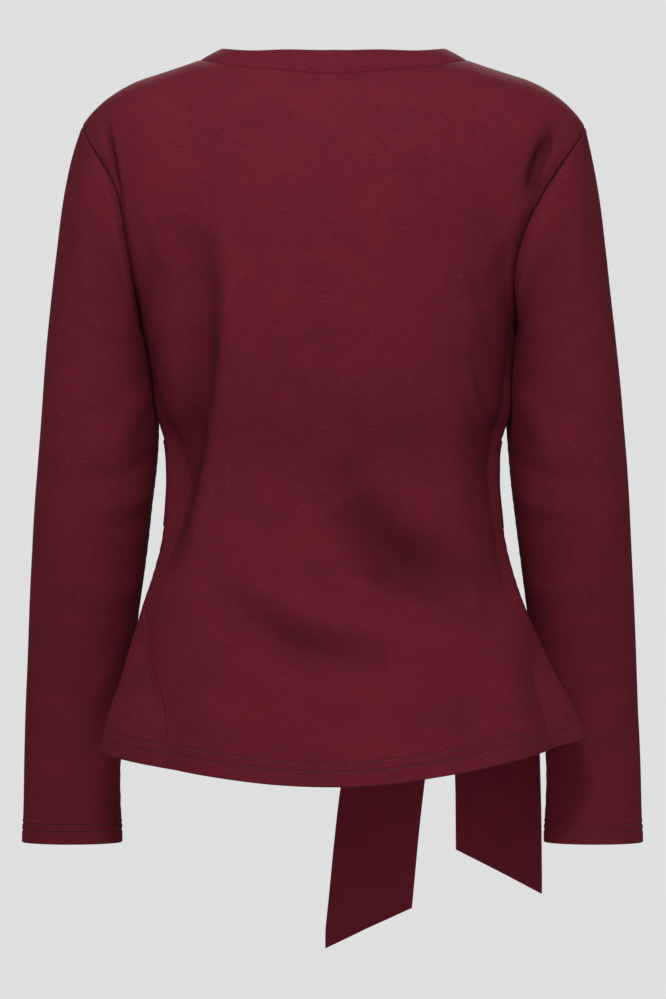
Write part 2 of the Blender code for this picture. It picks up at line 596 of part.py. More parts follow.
def build():
    """All the pieces."""
    for item in list(bpy.context.scene.objects):
        bpy.data.objects.remove(item, do_unlink=True)
    jersey = finish("burgundy_jersey", MAROON)
    doubled = finish("burgundy_jersey_doubled", MAROON_DARK)

    back = SimpleNamespace(face=1, ring=False, outer=panel(1, BACK_FOLDS))
    front = SimpleNamespace(face=-1, ring=False, outer=panel(-1, FRONT_FOLDS))
    back.normals = outward_normals(back.outer, -1)
    front.normals = outward_normals(front.outer, 1)

    arm = slice(BODY_ROWS, None)
    mirror = np.array([-1.0, 1.0, 1.0])
    armhole_left = np.concatenate([back.outer[arm, -1], front.outer[arm, -1][-2::-1]])
    armhole_right = np.concatenate([back.outer[arm, 0], front.outer[arm, 0][-2::-1]])
    left = SimpleNamespace(ring=True, outer=sleeve(armhole_left, SLEEVE.in_left))
    left.normals = ring_normals(left.outer, 1)
    right = SimpleNamespace(ring=True, outer=sleeve(armhole_right * mirror, SLEEVE.in_right) * mirror)
    right.normals = ring_normals(right.outer, -1)

    corner = (COLUMNS - NECK_COLUMNS) // 2
    neck = slice(corner, COLUMNS - corner + 1)
    neckline = np.concatenate([back.outer[-1, neck], front.outer[-1, neck][-2::-1]])
    band = SimpleNamespace(ring=True, outer=neckband(neckline))
    band.normals = ring_normals(band.outer, -1)

    share_seam_normals([back, front, left, right, band])
    for sheet in (back, front):
        below_arm = slice(0, BODY_ROWS + 1)
        trim_edge(sheet.outer, (below_arm, 0), (below_arm, 1), SEAM_GAP / 2)
        trim_edge(sheet.outer, (below_arm, -1), (below_arm, -2), SEAM_GAP / 2)
        for shoulder in (slice(0, corner + 1), slice(COLUMNS - corner, None)):
            sheet.outer[-1, shoulder] = sheet.outer[-1, shoulder] + np.array([0, sheet.face * SEAM_GAP / 2, 0])
    left.outer[0] = left.outer[0] + np.array([ARMHOLE_GAP, 0, 0])
    right.outer[0] = right.outer[0] - np.array([ARMHOLE_GAP, 0, 0])
    trim_edge(band.outer, 0, 1, SEAM_GAP)

    add_cloth("back_panel", back.outer, back.normals, CLOTH, jersey)
    add_cloth("front_panel", front.outer, front.normals, CLOTH, jersey)
    add_cloth("sleeve_left", left.outer, left.normals, CLOTH, jersey, ring=True)
    add_cloth("sleeve_right", right.outer, right.normals, CLOTH, jersey, ring=True)
    add_cloth("neckband", band.outer, band.normals, CLOTH, doubled, ring=True)

    outer, normals = tie_band(TIE_LEFT_SPAN, TIE_LEFT_COLUMNS)
    add_cloth("tie_band_left", outer, normals, DOUBLED_CLOTH, doubled)
    outer, normals = tie_band(TIE_RIGHT_SPAN, TIE_RIGHT_COLUMNS)
    add_cloth("tie_band_right", outer, normals, DOUBLED_CLOTH, doubled)
    add_knot(doubled)
    outer = tie_tail(TAIL_LONG, TAIL_LONG_TIP, TAIL_LONG_CORNER, 1, TAIL_LONG_TILT)
    add_cloth("tie_tail_long", outer, outward_normals(outer, -1), DOUBLED_CLOTH, doubled)
    outer = tie_tail(TAIL_SHORT, TAIL_SHORT_TIP, TAIL_SHORT_CORNER, -1, TAIL_SHORT_TILT)
    add_cloth("tie_tail_short", outer, outward_normals(outer, -1), DOUBLED_CLOTH, doubled)


build()
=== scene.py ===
"""The looks of a long-sleeved burgundy jersey top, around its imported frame.

Metres, +Z up. The front faces -Y, and the side that is the left one as worn is +X. Each piece of cloth is a
sheet of rows and columns of points on its outer face, with its folds, seams and hems raised on it, and a
cloth's thickness below it. The forms are those of the solids, drawn finer.
"""

import math
from types import SimpleNamespace

import bmesh
import bpy
import numpy as np
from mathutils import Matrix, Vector


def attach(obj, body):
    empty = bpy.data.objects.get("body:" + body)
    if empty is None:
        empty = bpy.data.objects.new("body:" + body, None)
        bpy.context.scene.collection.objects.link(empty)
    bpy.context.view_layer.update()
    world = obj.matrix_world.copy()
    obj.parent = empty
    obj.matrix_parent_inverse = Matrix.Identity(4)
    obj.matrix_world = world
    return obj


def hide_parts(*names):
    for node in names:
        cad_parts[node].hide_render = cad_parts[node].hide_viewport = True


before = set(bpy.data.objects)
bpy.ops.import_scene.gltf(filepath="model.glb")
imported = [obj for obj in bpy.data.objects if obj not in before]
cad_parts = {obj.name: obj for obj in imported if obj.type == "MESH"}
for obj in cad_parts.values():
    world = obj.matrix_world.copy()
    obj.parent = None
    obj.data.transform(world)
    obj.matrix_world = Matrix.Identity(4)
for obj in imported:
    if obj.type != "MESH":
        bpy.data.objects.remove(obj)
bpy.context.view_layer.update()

# The camera stands square to the back
CAMERA_PLACE = (0.0004, 3.0, -0.3596)
LENS_MM = 131.84
SENSOR_MM = 36.0
FLOOR_HEIGHT = -2.6
FLOOR_SIZE = 60.0

# Cloth
JERSEY_THICK = 0.0012
BAND_THICK = 0.0024
TIE_THICK = 0.0022

# Neck and shoulders
NECK_SHARE = 16 / 28
NECK_HALF_WIDTH = 0.1095
NECK_BACK_DEPTH = 0.068
NECK_FRONT_DEPTH = 0.096
NECK_BACK_ROUNDNESS = 1.0
NECK_FRONT_ROUNDNESS = 0.6
NECKBAND_WIDTH = 0.0203
NECKBAND_RISE_AT_SIDE = 0.009
NECKBAND_RISE_AT_CENTRE = 0.0196
NECKBAND_RISE_POWER = 1.5
NECKBAND_FULLNESS = 0.0004
NECKBAND_EDGE_ROUND = 0.0012
SHOULDER_TIP = (0.206, -0.054)

# Armholes
UNDERARM_HEIGHT = -0.215
ARMHOLE_HALF_DEPTH = 0.066
YOKE_RISE_POWER = 1.6
YOKE_TURN_POWER = 3.0
YOKE_CHANGE = 0.5
ARMHOLE_FOLD_TOP = -0.066
ARMHOLE_FOLD_RUN = 0.055
ARMHOLE_FOLD_DEPTH = 0.0070
ARMHOLE_FOLD_REACH = 0.0065
ARMHOLE_FOLD_SIDE = 0.03

# The rows round the underarms are evened out, and less so towards the two sides
UNDERARM_REACH = 10
UNDERARM_ROUNDS = 60
UNDERARM_FADE_START = 0.86
UNDERARM_FADE_RUN = 0.1

# Hem: its height at the two flared corners, the centre back and the centre front
HEM_CORNER_LEFT = -0.5627
HEM_CORNER_RIGHT = -0.5524
HEM_BACK = -0.586
HEM_FRONT = -0.577
HEM_POWER = 1.15
BODY_SQUARENESS = 2.3
SEAM_CROWDING = 0.35

# The flared corner of the hem stands out as a flute, in degrees from the side of the body towards the back
FLUTE_RIDGE_LEFT = 7.0
FLUTE_RIDGE_RIGHT = 4.0
FLUTE_WIDTH_FRONT = 10.0
FLUTE_WIDTH_LEAST = 5.0
FLUTE_SOFTNESS = 0.14
FLUTE_SHARPNESS = 1.2
NIP_ANGLE = -17.0
NIP_HALF_WIDTH = 13.0

# Waist tie
TIE_WIDTH = 0.071
TIE_SEAM_HEIGHT = -0.346
TIE_LEFT_SPAN = (-3.0, -132.5)
TIE_RIGHT_SPAN = (-177.0, -155.0)
TIE_CLEARANCE = 0.0014
TIE_SEWN_IN = 0.010
TIE_SEWN_THINNING = 0.65
TIE_FLAT_SHARE = 0.15
TIE_HALF_WIDTH_AT_KNOT = 0.012
GATHER_HEIGHT = 0.003
GATHER_PLEATS = 2.5
TIE_PLEATS_FINE, TIE_PLEATS_BROAD, TIE_PLEATS_DEEPEST = 0.0011, 0.0008, -0.0006
TAIL_PLEATS_FINE, TAIL_PLEATS_BROAD = 0.0012, 0.0009
KNOT_ANGLE = -142.0
KNOT_HEIGHT = -0.371
KNOT_SIZE = (0.044, 0.024, 0.044)
KNOT_CLEARANCE = 0.0015
KNOT_SQUARENESS = 4
KNOT_SAG = 0.06
KNOT_LOBES = 3
KNOT_PLEATS_FINE, KNOT_PLEATS_BROAD = 0.045, 0.03
KNOT_PINCH, KNOT_PINCH_PLACE, KNOT_PINCH_WIDTH = 0.16, 0.88, 0.012
KNOT_LEAN, KNOT_WAVER = 0.25, 0.12
KNOT_SHRINK = 0.035
KNOT_CLOTH_SIZE = 0.03
TAIL_CLEARANCE = 0.003
TAIL_TOP = -0.3900
TAIL_LONG_TIP, TAIL_LONG_CORNER = -0.743, -0.708
TAIL_SHORT_TIP, TAIL_SHORT_CORNER = -0.692, -0.657
TAIL_LONG_TILT, TAIL_SHORT_TILT = -0.06, -0.34
TAIL_GATHER_SHARE = 0.5

# Folds fade out towards their two ends and towards the side seams
FOLD_STEPS = 24
FOLD_END = 0.1
FOLD_FADE_START = 0.86
CREASE_FADE = 0.003
SLEEVE_FOLD_FADE_TOP, SLEEVE_FOLD_FADE_CUFF = 0.05, 0.08
SLEEVE_FOLD_FADE_SIDE = 0.04

# The cloth is slightly uneven, in soft waves
UNEVEN_HEIGHT = 0.0005
UNEVEN_SIZE_BODY = 0.16
UNEVEN_SIZE_SLEEVE = 0.13
UNEVEN_FADE = 0.02

# Seams: a groove where two pieces meet, and the cloth puckered along it
SEAM_DIP = 0.0009
SEAM_REACH = 0.0014
SEAM_TUCK = 0.0012
SEAM_DROP = 0.0008
FAINT_SEAM = 0.35
PUCKER_HEIGHT = 0.00025
PUCKER_REACH = 0.006
PUCKER_LENGTH = 0.011
PUCKER_DRIFT = 47
SEAM_FADE = 0.01
LEAST_TUCK = 0.0001

# Hems: turned up once and sewn by two needles
HEM_TURN = 0.0195
HEM_LIFT = 0.0004
HEM_LAYER_END = HEM_TURN - 0.001
HEM_LAYER_FADE = 0.0015
HEM_SIDE_FADE = 0.002
HEM_ROWS = (0.012, 0.019)
CUFF_ROWS = (0.0105, 0.0165)
ROW_DIP = 0.0007
ROW_REACH = 0.0008
EDGE_ROUND = 0.0009
HEM_PUCKER_HEIGHT = 0.0002
HEM_PUCKER_REACH = 0.006
HEM_PUCKER_LENGTH = 0.0085
HEM_PUCKER_SLANT = 0.016
HEM_PUCKER_DRIFT = 31
STITCH_PITCH = 0.0030
STITCH_WIDTH = 0.00055
STITCH_DROP = 0.0007
STITCH_STEPS = 6
STITCH_SIDES = 6
STITCH_LEAST = 0.3

# Painted shade: how dark the cloth's colour is painted in its hollows, where less light gets down, from 0 to 1,
# and how far across each reaches
SEAM_SHADE_REACH = 0.0009
SIDE_SEAM_SHADE = 0.25
ARMHOLE_SEAM_SHADE = 0.8
ROW_SHADE = 0.8
ROW_SHADE_REACH = 0.0007
BAND_SHADE_REACH = 0.0010
BAND_SHADE = 0.3
# How often the painted shade along the neckband seam breaks, and in what longer patches
BAND_SHADE_BREAK_RATE, BAND_SHADE_PATCH_RATE = 700, 90
CREASE_SHADE = 0.7
CREASE_DEEPEST = 0.004
CREASE_SHADE_POWER = 3
FOLD_SHADE = 0.5
FOLD_DEEPEST = 0.024
FOLD_SHADE_POWER = 1.5

# Points closer than this are one, and edges that turn by more than this, in radians, are a rim
MERGE_DISTANCE = 1e-6
RIM_ANGLE = 1.0


def smooth_curve(keys, values):
    """A smooth curve through values at rising keys, level past both ends."""
    slopes = np.gradient(values, keys)

    def read(at):
        at = np.clip(at, keys[0], keys[-1])
        i = np.clip(np.searchsorted(keys, at) - 1, 0, len(keys) - 2)
        width = keys[i + 1] - keys[i]
        f = (at - keys[i]) / width
        rise = values[i] + (values[i + 1] - values[i]) * f * f * (3 - 2 * f)
        return rise + width * f * (1 - f) * (slopes[i] * (1 - f) - slopes[i + 1] * f)

    return read


def sections(columns, rows):
    """Smooth curves through a table, one for each named column, read by the first column."""
    names = columns.split()
    values = np.array(rows, dtype=float).T
    curves = (smooth_curve(values[0], value) for value in values[1:])
    return SimpleNamespace(**dict(zip(names[1:], curves)))


def runs(*steps):
    """Rising values from 0, evenly spaced up to the end of each run; a run is its end and its count."""
    values = [0.0]
    for end, count in steps:
        values += list(np.linspace(values[-1], end, count + 1)[1:])
    return np.array(values)


def both_ways(values):
    """Values that rise from 0, and the same below it."""
    return np.concatenate([-values[:0:-1], values])


# How finely the pieces are divided: close together at the seams and hems
HALF_ACROSS = runs((NECK_SHARE, 50), (0.955, 32), (1.0, 12))
ACROSS = both_ways(HALF_ACROSS)
NECK = slice(HALF_ACROSS.size - 51, HALF_ACROSS.size + 50)
BODY_UP = runs((0.002, 2), (0.029, 7), (0.037, 9), (0.048, 4), (0.058, 10), (1.0, 80))
YOKE_UP = runs((0.01, 4), (0.95, 48), (1.0, 14))
SLEEVE_ALONG = runs((0.012, 9), (0.05, 8), (0.967, 92), (0.9775, 14), (0.9875, 14), (0.9985, 5), (1.0, 2))
BAND_UP = runs((0.12, 5), (0.88, 14), (1.0, 6))
TIE_UP = both_ways(runs((0.94, 20), (1.0, 4)))
TAIL_ACROSS = both_ways(runs((0.93, 14), (1.0, 4)))
TAIL_DOWN = runs((0.985, 72), (1.0, 6))
UNDERARM_ROW = BODY_UP.size - 1

# The body below the underarms: half-widths, depths from the middle, the side seams' angles towards the back
# in degrees, how far the flared corners stand out, and how far the body is nipped in before them
BODY = sections(
    "height  left    right   back    front   seam_left seam_right flute_left flute_right nip_left nip_right",
    [
        (-0.590, 0.1670, 0.1940, 0.1250, 0.1210, 33.0, 15.0, 0.0250, 0.0200, 0.005, 0.019),
        (-0.562, 0.1670, 0.1890, 0.1195, 0.1190, 31.0, 15.0, 0.0245, 0.0210, 0.004, 0.019),
        (-0.534, 0.1660, 0.1790, 0.1140, 0.1170, 27.0, 14.0, 0.0195, 0.0215, 0.003, 0.014),
        (-0.504, 0.1615, 0.1700, 0.1070, 0.1140, 18.0, 12.0, 0.0130, 0.0135, 0.002, 0.008),
        (-0.475, 0.1580, 0.1660, 0.1000, 0.1105, 12.0, 8.0, 0.0080, 0.0040, 0.001, 0.006),
        (-0.447, 0.1545, 0.1560, 0.0930, 0.1070, 6.0, 4.0, 0.0030, 0.0010, 0.0, 0.001),
        (-0.418, 0.1470, 0.1470, 0.0860, 0.1030, 0.0, 0.0, 0.0, 0.0, 0.0005, 0.0005),
        (-0.395, 0.1420, 0.1420, 0.0815, 0.1005, 0.0, 0.0, 0.0, 0.0, 0.0030, 0.0030),
        (-0.360, 0.1385, 0.1380, 0.0775, 0.0980, 0.0, 0.0, 0.0, 0.0, 0.0040, 0.0040),
        (-0.338, 0.1378, 0.1368, 0.0785, 0.1000, 0.0, 0.0, 0.0, 0.0, 0.0040, 0.0040),
        (-0.310, 0.1400, 0.1390, 0.0850, 0.1065, 0.0, 0.0, 0.0, 0.0, 0.0035, 0.0035),
        (-0.293, 0.1448, 0.1448, 0.0905, 0.1120, 0.0, 0.0, 0.0, 0.0, 0.0035, 0.0035),
        (-0.255, 0.1505, 0.1470, 0.1000, 0.1205, 0.0, 0.0, 0.0, 0.0, 0.0060, 0.0055),
        (-0.215, 0.1575, 0.1505, 0.1050, 0.1240, 0.0, 0.0, 0.0, 0.0, 0.0, 0.0),
    ],
)

# The crown of the shoulders: the shoulder seam and, inside the neck, the line that would carry on from it;
# the surface falls away from it more sharply the higher its roundness
CROWN = sections(
    "across  height   round_back round_front",
    [
        (0.0000, 0.0090, 4.3, 1.80),
        (0.0500, 0.0088, 4.0, 1.85),
        (0.0900, 0.0052, 3.1, 2.10),
        (0.1095, 0.0, 2.9, 2.40),
        (0.1210, -0.0040, 3.0, 2.60),
        (0.1420, -0.0110, 3.3, 3.20),
        (0.1615, -0.0178, 3.8, 3.80),
        (0.1770, -0.0262, 4.3, 4.30),
        (0.1930, -0.0385, 4.8, 4.80),
        (0.2007, -0.0467, 5.0, 5.00),
        (0.2060, -0.0540, 5.0, 5.00),
    ],
)

# The armhole seams, from the underarm to the shoulder point
ARMHOLE = sections(
    "height  left    right",
    [
        (-0.215, 0.1575, 0.1505),
        (-0.205, 0.1585, 0.1480),
        (-0.190, 0.1608, 0.1458),
        (-0.170, 0.1640, 0.1470),
        (-0.150, 0.1675, 0.1520),
        (-0.130, 0.1708, 0.1600),
        (-0.113, 0.1745, 0.1690),
        (-0.096, 0.1820, 0.1800),
        (-0.079, 0.1930, 0.1920),
        (-0.066, 0.2005, 0.2005),
        (-0.054, 0.2060, 0.2060),
    ],
)

# The sleeves from the armhole (0) to the cuff (1): the outermost and innermost points and the half depth; the
# right sleeve lies closer to the body than the left one
SLEEVE = sections(
    "along  out_left out_right out_y  out_z    in_left in_right in_y    in_z     half_y",
    [
        (0.000, 0.2065, 0.2060, 0.000, -0.0540, 0.1580, 0.1510, 0.000, -0.2155, 0.066),
        (0.040, 0.2132, 0.2110, 0.000, -0.0750, 0.1566, 0.1498, -0.010, -0.2260, 0.066),
        (0.100, 0.2205, 0.2172, 0.000, -0.1100, 0.1508, 0.1460, -0.022, -0.2380, 0.064),
        (0.175, 0.2268, 0.2232, 0.000, -0.1550, 0.1468, 0.1430, -0.028, -0.2560, 0.060),
        (0.285, 0.2337, 0.2306, -0.003, -0.2200, 0.1446, 0.1424, -0.030, -0.2850, 0.056),
        (0.410, 0.2402, 0.2382, -0.007, -0.2930, 0.1458, 0.1450, -0.027, -0.3300, 0.052),
        (0.525, 0.2458, 0.2438, -0.014, -0.3600, 0.1508, 0.1500, -0.026, -0.3750, 0.048),
        (0.640, 0.2504, 0.2478, -0.026, -0.4306, 0.1583, 0.1575, -0.033, -0.4306, 0.043),
        (0.760, 0.2545, 0.2520, -0.040, -0.5017, 0.1676, 0.1668, -0.043, -0.5017, 0.036),
        (0.880, 0.2576, 0.2556, -0.051, -0.5731, 0.1771, 0.1765, -0.053, -0.5731, 0.031),
        (1.000, 0.2602, 0.2586, -0.060, -0.6459, 0.1768, 0.1762, -0.060, -0.6459, 0.028),
    ],
)
SLEEVE_HEAD = 0.16
SLEEVE_LENGTH = 0.60
SLEEVE_RADIUS = 0.048
SLEEVE_SHIFT = 0.05

# The hanging ends of the tie: where their middles are across the body, and their half-widths
TAIL_LONG = sections(
    "height  middle   half_width",
    [
        (-0.726, -0.0292, 0.0360),
        (-0.586, -0.0443, 0.0355),
        (-0.540, -0.0520, 0.0350),
        (-0.500, -0.0610, 0.0310),
        (-0.460, -0.0710, 0.0250),
        (-0.430, -0.0820, 0.0180),
        (-0.394, -0.0940, 0.0085),
    ],
)
TAIL_SHORT = sections(
    "height  middle   half_width",
    [
        (-0.675, -0.1405, 0.0355),
        (-0.586, -0.1390, 0.0355),
        (-0.540, -0.1370, 0.0350),
        (-0.500, -0.1330, 0.0310),
        (-0.460, -0.1260, 0.0250),
        (-0.430, -0.1190, 0.0180),
        (-0.394, -0.1140, 0.0085),
    ],
)

# Folds: a soft ridge (or a trough, where its height is below 0) through three places on a panel
FOLD_COLUMNS = "start_x start_z middle_x middle_z end_x end_z half_width height"
BACK_FOLDS = [
    (0.089, -0.150, 0.088, -0.250, 0.113, -0.385, 0.011, 0.0065),
    (0.108, -0.165, 0.113, -0.275, 0.143, -0.400, 0.017, -0.0200),
    (-0.008, -0.362, -0.053, -0.407, -0.120, -0.434, 0.025, -0.0270),
    (0.006, -0.412, -0.048, -0.439, -0.114, -0.444, 0.011, 0.0075),
    (0.070, -0.430, 0.000, -0.458, -0.080, -0.476, 0.016, 0.0060),
    (0.088, -0.440, 0.034, -0.476, -0.030, -0.492, 0.018, -0.0135),
    (0.088, -0.480, 0.098, -0.530, 0.104, -0.580, 0.016, 0.0045),
    (-0.128, -0.480, -0.142, -0.520, -0.150, -0.575, 0.014, 0.0040),
    # The flanks turn away more roundly than the middle
    (-0.140, -0.180, -0.132, -0.320, -0.140, -0.450, 0.027, -0.0100),
    (0.146, -0.250, 0.138, -0.345, 0.146, -0.430, 0.020, -0.0060),
    # Finer creases: at the waist, beside the armholes and above the hem
    (0.122, -0.275, 0.126, -0.318, 0.138, -0.362, 0.007, -0.0020),
    (-0.112, -0.190, -0.126, -0.213, -0.141, -0.234, 0.005, -0.0018),
    (-0.106, -0.250, -0.120, -0.284, -0.137, -0.322, 0.006, 0.0022),
    (-0.114, -0.246, -0.128, -0.280, -0.142, -0.312, 0.005, -0.0018),
    (0.160, -0.120, 0.142, -0.150, 0.122, -0.190, 0.008, 0.0020),
    (-0.158, -0.118, -0.140, -0.146, -0.120, -0.180, 0.008, 0.0018),
    (0.060, -0.500, 0.056, -0.545, 0.054, -0.590, 0.014, -0.0026),
    (0.015, -0.490, 0.010, -0.540, 0.008, -0.592, 0.015, 0.0024),
    (-0.060, -0.490, -0.070, -0.540, -0.078, -0.590, 0.015, 0.0028),
    (-0.098, -0.500, -0.108, -0.540, -0.112, -0.585, 0.010, -0.0026),
]
# Creases that run up to an armhole seam
BACK_CREASES = [
    (0.1835, -0.056, 0.1785, -0.084, 0.1735, -0.113, 0.0026, -0.0060),
    (-0.1770, -0.063, -0.1665, -0.089, -0.1580, -0.116, 0.0070, -0.0085),
]
FRONT_CREASES = [
    (0.1790, -0.062, 0.1710, -0.090, 0.1650, -0.116, 0.0050, -0.0040),
    (-0.1800, -0.060, -0.1745, -0.086, -0.1690, -0.113, 0.0035, -0.0036),
]
FRONT_FOLDS = [
    # Drawn in from the bust towards the knot
    (0.105, -0.245, 0.015, -0.300, -0.062, -0.343, 0.018, 0.0085),
    (0.080, -0.225, 0.000, -0.278, -0.070, -0.330, 0.010, -0.0050),
    (0.030, -0.215, -0.020, -0.270, -0.082, -0.326, 0.010, 0.0040),
    (-0.030, -0.225, -0.060, -0.280, -0.090, -0.332, 0.011, -0.0060),
    (-0.110, -0.225, -0.108, -0.275, -0.098, -0.325, 0.014, 0.0060),
    (-0.122, -0.260, -0.118, -0.300, -0.108, -0.340, 0.007, -0.0020),
    # Below the tie
    (0.112, -0.400, 0.040, -0.398, -0.030, -0.388, 0.014, 0.0050),
    (0.100, -0.432, 0.030, -0.420, -0.050, -0.396, 0.009, -0.0035),
    (0.060, -0.560, 0.045, -0.490, 0.020, -0.430, 0.019, 0.0080),
    (0.094, -0.560, 0.084, -0.500, 0.066, -0.430, 0.014, -0.0075),
    (0.125, -0.550, 0.115, -0.500, 0.100, -0.450, 0.014, 0.0070),
    (0.005, -0.560, -0.008, -0.490, -0.040, -0.420, 0.014, -0.0065),
    (-0.150, -0.520, -0.138, -0.460, -0.120, -0.410, 0.010, 0.0018),
    # Beside the armholes
    (0.158, -0.120, 0.138, -0.150, 0.112, -0.195, 0.009, 0.0030),
    (0.150, -0.150, 0.130, -0.176, 0.098, -0.208, 0.010, -0.0035),
    (-0.156, -0.118, -0.136, -0.148, -0.110, -0.190, 0.009, 0.0028),
    (-0.148, -0.148, -0.128, -0.174, -0.098, -0.204, 0.010, -0.0032),
]
TAIL_FOLDS = [
    (-0.062, -0.430, -0.060, -0.520, -0.058, -0.600, 0.008, 0.0022),
    (-0.078, -0.440, -0.072, -0.500, -0.068, -0.560, 0.006, -0.0016),
    (-0.014, -0.600, -0.030, -0.640, -0.052, -0.672, 0.010, 0.0022),
    (-0.010, -0.660, -0.026, -0.690, -0.046, -0.712, 0.009, -0.0018),
    (-0.128, -0.430, -0.136, -0.520, -0.140, -0.590, 0.008, 0.0022),
    (-0.112, -0.560, -0.134, -0.600, -0.160, -0.622, 0.010, -0.0020),
    (-0.110, -0.600, -0.134, -0.632, -0.164, -0.652, 0.010, 0.0022),
]
# Folds of a sleeve, by metres round it from its seam at the back and by metres from the armhole
SLEEVE_FOLDS = [
    (0.020, 0.150, 0.045, 0.200, 0.060, 0.262, 0.010, 0.0022),
    (0.000, 0.215, 0.040, 0.262, 0.085, 0.290, 0.009, -0.0020),
    (-0.030, 0.252, 0.020, 0.292, 0.072, 0.318, 0.010, 0.0024),
    (-0.060, 0.232, -0.025, 0.276, 0.010, 0.330, 0.008, -0.0016),
    (-0.080, 0.205, -0.050, 0.250, -0.030, 0.310, 0.009, 0.0018),
    (-0.040, 0.352, 0.000, 0.380, 0.050, 0.392, 0.010, 0.0018),
    (0.110, 0.020, 0.100, 0.070, 0.085, 0.130, 0.009, 0.0018),
    (0.135, 0.015, 0.128, 0.050, 0.118, 0.090, 0.007, -0.0010),
    (-0.112, 0.020, -0.100, 0.070, -0.085, 0.130, 0.009, 0.0016),
    (0.030, 0.430, 0.050, 0.470, 0.060, 0.520, 0.010, 0.0014),
    (-0.050, 0.440, -0.040, 0.490, -0.020, 0.540, 0.010, -0.0014),
]


def unit(vectors):
    """Vectors of length one."""
    return vectors / np.maximum(np.linalg.norm(vectors, axis=-1, keepdims=True), 1e-12)


def points(x, y, z):
    """An array of points from arrays of their coordinates."""
    return np.stack(np.broadcast_arrays(x, y, z), axis=-1)


def ease(f):
    """0 to 1 with level ends."""
    f = np.clip(f, 0.0, 1.0)
    return f * f * (3 - 2 * f)


def bell(f):
    """A smooth hump, 1 in its middle."""
    return np.exp(-(f**2))


def lengths(sheet, axis):
    """How far each point lies along its row (axis 1) or column (axis 0), in metres from the first."""
    steps = np.linalg.norm(np.diff(sheet, axis=axis), axis=-1)
    before = np.zeros_like(np.take(steps, [0], axis=axis))
    return np.concatenate([before, np.cumsum(steps, axis=axis)], axis=axis)


def cloth_places(outer, normals, row):
    """Each point's place on the flat cloth, whose courses lie level, measured out from one row."""
    level = unit(np.cross(np.array([0.0, 0.0, 1.0]), normals))
    places = []
    for tangent in (level, np.cross(normals, level)):
        along_row = np.sum(np.diff(outer[row], axis=0) * (tangent[row, 1:] + tangent[row, :-1]) / 2, axis=-1)
        up_columns = np.sum(np.diff(outer, axis=0) * (tangent[1:] + tangent[:-1]) / 2, axis=-1)
        across = np.concatenate([[0.0], np.cumsum(along_row)])
        climbed = np.concatenate([np.zeros((1, outer.shape[1])), np.cumsum(up_columns, axis=0)])
        places.append(across + climbed - climbed[row])
    return places


def sleeve_places(outer):
    """Each point's place on a sleeve's flat cloth, whose courses lie square to the sleeve's length."""
    centre = outer[:, :-1].mean(axis=1, keepdims=True)
    axis = unit(np.gradient(centre, axis=0))
    v = lengths(centre, 0) + np.sum((outer - centre) * axis, axis=-1)
    steps = np.linalg.norm(np.diff(outer, axis=1), axis=-1) ** 2 - np.diff(v, axis=1) ** 2
    u = np.concatenate([np.zeros((len(v), 1)), np.cumsum(np.sqrt(np.maximum(steps, 0)), axis=1)], axis=1)
    middle = u.shape[1] // 2
    return u - u[:, middle : middle + 1], -v


def unevenness(u, v, height, size):
    """The slight unevenness of soft cloth: waves of a given height and size that run several ways."""
    waves = np.sin(u * 6.1 / size + 1.3 * np.sin(v * 3.1 / size + 0.7))
    waves = waves + np.sin(v * 5.3 / size + 1.7 * np.sin(u * 2.7 / size + 2.1))
    waves = waves + 0.6 * np.sin((u + 0.8 * v) * 8.9 / size + 4.0)
    return height * waves / 2.6


def flute(turned, ridge, seam, height):
    """How far the flared corner stands out, at an angle from the side towards the back, in degrees."""
    behind = np.maximum(seam - ridge, FLUTE_WIDTH_LEAST)
    share = np.where(turned > ridge, (turned - ridge) / behind, (ridge - turned) / FLUTE_WIDTH_FRONT)
    softened = np.sqrt(share**2 + FLUTE_SOFTNESS**2) - FLUTE_SOFTNESS
    return height * np.clip(1 - softened, 0.0, 1.0) ** FLUTE_SHARPNESS


def body_point(angle, height):
    """The body's outer face, at an angle in degrees from the left side (0) round the back (90)."""
    c, s = np.cos(np.radians(angle)), np.sin(np.radians(angle))
    half_width = np.where(c > 0, BODY.left(height), BODY.right(height))
    depth = np.where(s > 0, BODY.back(height), BODY.front(height))
    power = BODY_SQUARENESS
    radius = ((np.abs(c) / half_width) ** power + (np.abs(s) / depth) ** power) ** (-1 / power)
    from_left = (angle + 180) % 360 - 180
    from_right = (360 - angle) % 360 - 180
    radius = radius + flute(from_left, FLUTE_RIDGE_LEFT, BODY.seam_left(height), BODY.flute_left(height))
    radius = radius + flute(from_right, FLUTE_RIDGE_RIGHT, BODY.seam_right(height), BODY.flute_right(height))
    radius = radius - BODY.nip_left(height) * bell((from_left - NIP_ANGLE) / NIP_HALF_WIDTH)
    radius = radius - BODY.nip_right(height) * bell((from_right - NIP_ANGLE) / NIP_HALF_WIDTH)
    return points(radius * c, radius * s, height)


def hem_height(angle):
    """The hem's height round the body."""
    c, s = np.cos(np.radians(angle)), np.sin(np.radians(angle))
    corner = np.where(c > 0, HEM_CORNER_LEFT, HEM_CORNER_RIGHT)
    middle = np.where(s > 0, HEM_BACK, HEM_FRONT)
    return corner + (middle - corner) * np.abs(s) ** HEM_POWER


def seam_to_seam(across, height, face):
    """The angle on the body of a column from -1 at the right side seam to 1 at the left one."""
    spread = (1 - SEAM_CROWDING) * across + SEAM_CROWDING * np.sin(across * math.pi / 2)
    left, right = BODY.seam_left(height), BODY.seam_right(height)
    if face > 0:
        return (180 - right + left) / 2 - spread * (180 - right - left) / 2
    return (left - 180 - right) / 2 + spread * (180 + right + left) / 2


def lower_panel(face):
    """The panel from the hem to the underarms; face is 1 for the back and -1 for the front."""
    across, up = np.meshgrid(ACROSS, BODY_UP)
    level = HEM_BACK + (UNDERARM_HEIGHT - HEM_BACK) * up
    angle = seam_to_seam(across, level, face)
    hem = hem_height(angle)
    return body_point(angle, hem + (UNDERARM_HEIGHT - hem) * up)


